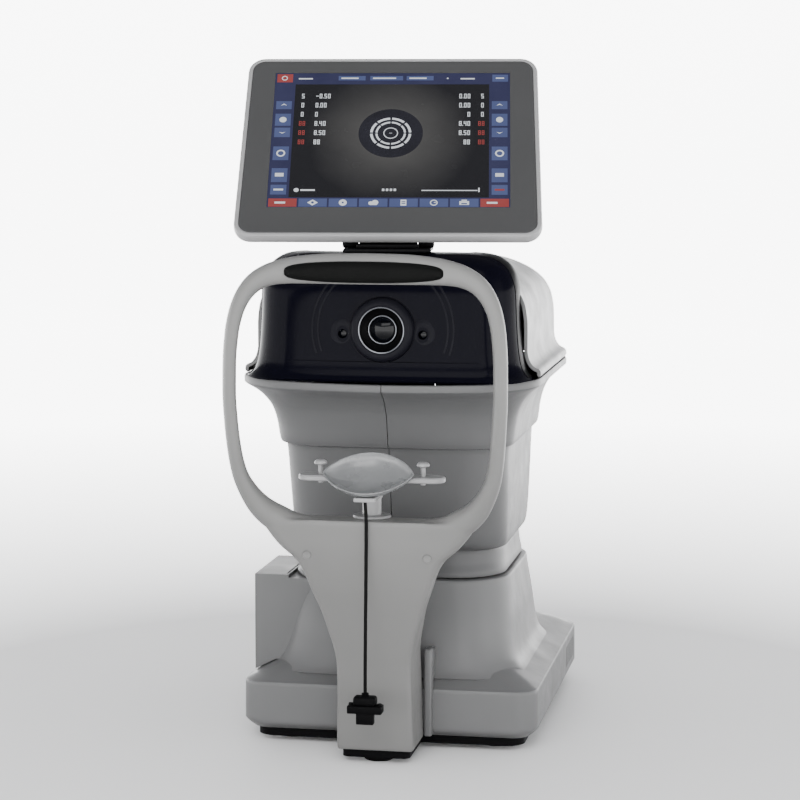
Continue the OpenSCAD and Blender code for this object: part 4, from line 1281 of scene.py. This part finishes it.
# ---- CAD nodes kept as they are


def dress_kept_nodes():
    """Looks and edge widths, in millimetres, of the CAD nodes whose shapes are right."""
    looks = {
        "base_tray": ("black", 0.6), "power_inlet": ("black", 0.4), "power_switch": ("black", 0.6),
        "io_panel": ("alloy", 0.2), "mainboard": ("board", 0.1), "power_supply": ("alloy", 0.5),
        "chin_motor": ("black", 0.3), "hinge_pin": ("steel", 0.2), "swivel_base": ("light", 0.5),
        "display_panel": ("black", 0),
        "printer_housing": ("case", 0.8), "printer_door": ("case", 0.8), "door_pin": ("steel", 0.2),
        "paper_roll": ("paper", 0.1), "roll_spindle": ("black", 0.3), "platen_roller": ("rubber", 0.2),
        "print_head": ("black", 0.3), "y_rails": ("steel", 0.2), "y_carriage": ("alloy", 0.4),
        "y_motor": ("black", 0.4), "x_rails": ("steel", 0.2), "x_carriage": ("alloy", 0.4),
        "x_motor": ("black", 0.4), "z_column": ("alloy", 0.4), "z_motor": ("black", 0.4),
        "z_screw": ("steel", 0.2), "head_chassis": ("alloy", 0.5), "optical_tube": ("black", 0.5),
        "beam_splitter": ("plate", 0.1), "camera_module": ("board", 0.2), "fixation_unit": ("black", 0.3)}
    for node, (look, bevel) in looks.items():
        dress(node, look, bevel)


# ---- floor


def floor_paint():
    """Pale matt floor, lit up more and more towards its rim as a studio sweep is."""
    g = Graph("floor_paint")
    apart = g.add("ShaderNodeVectorMath", operation="LENGTH")
    g.join(g.place(), apart.inputs[0])
    g.join(g.ramp(apart.outputs["Value"], 0, 7, 0.5, 2.2), g.shader.inputs["Emission Strength"])
    g.join(g.tint(g.noise(3, 3), (0.7, 0.7, 0.7), (0.74, 0.74, 0.74)), g.shader.inputs["Base Color"])
    g.shader.inputs["Emission Color"].default_value = (1, 1, 1, 1)
    g.shader.inputs["Roughness"].default_value = 0.7
    return g.material


def make_floor():
    """A wide round floor whose rim sweeps up all round, so that no horizon shows from any side."""
    bm = bmesh.new()
    steps = 96
    flat, sweep = 4, 2.5
    profile = [(flat / 2, 0), (flat, 0)]
    for k in range(1, 12):
        a = math.radians(6 * k)
        profile.append((flat + sweep * math.sin(a), sweep - sweep * math.cos(a)))
    centre = bm.verts.new((0, 0, 0))
    turns = [2 * math.pi * i / steps for i in range(steps)]
    rows = [[bm.verts.new((r * math.cos(t), r * math.sin(t), z)) for t in turns] for r, z in profile]
    for i in range(steps):
        bm.faces.new((centre, rows[0][i], rows[0][(i + 1) % steps]))
    skin(bm, [list(reversed(row)) for row in rows])
    floor = new_object("floor", bm)
    shade(floor.data, True)
    floor.data.materials.append(floor_paint())


make_camera()
make_lead()
make_base_cover()
make_base_details()
make_turret()
make_collar()
make_head_shell()
make_mask()
make_window()
make_top_cover()
make_screen()
make_swivel()
make_headrest()
make_headrest_details()
make_pad()
make_cup()
make_chin_details()
dress_kept_nodes()
make_light()
make_floor()
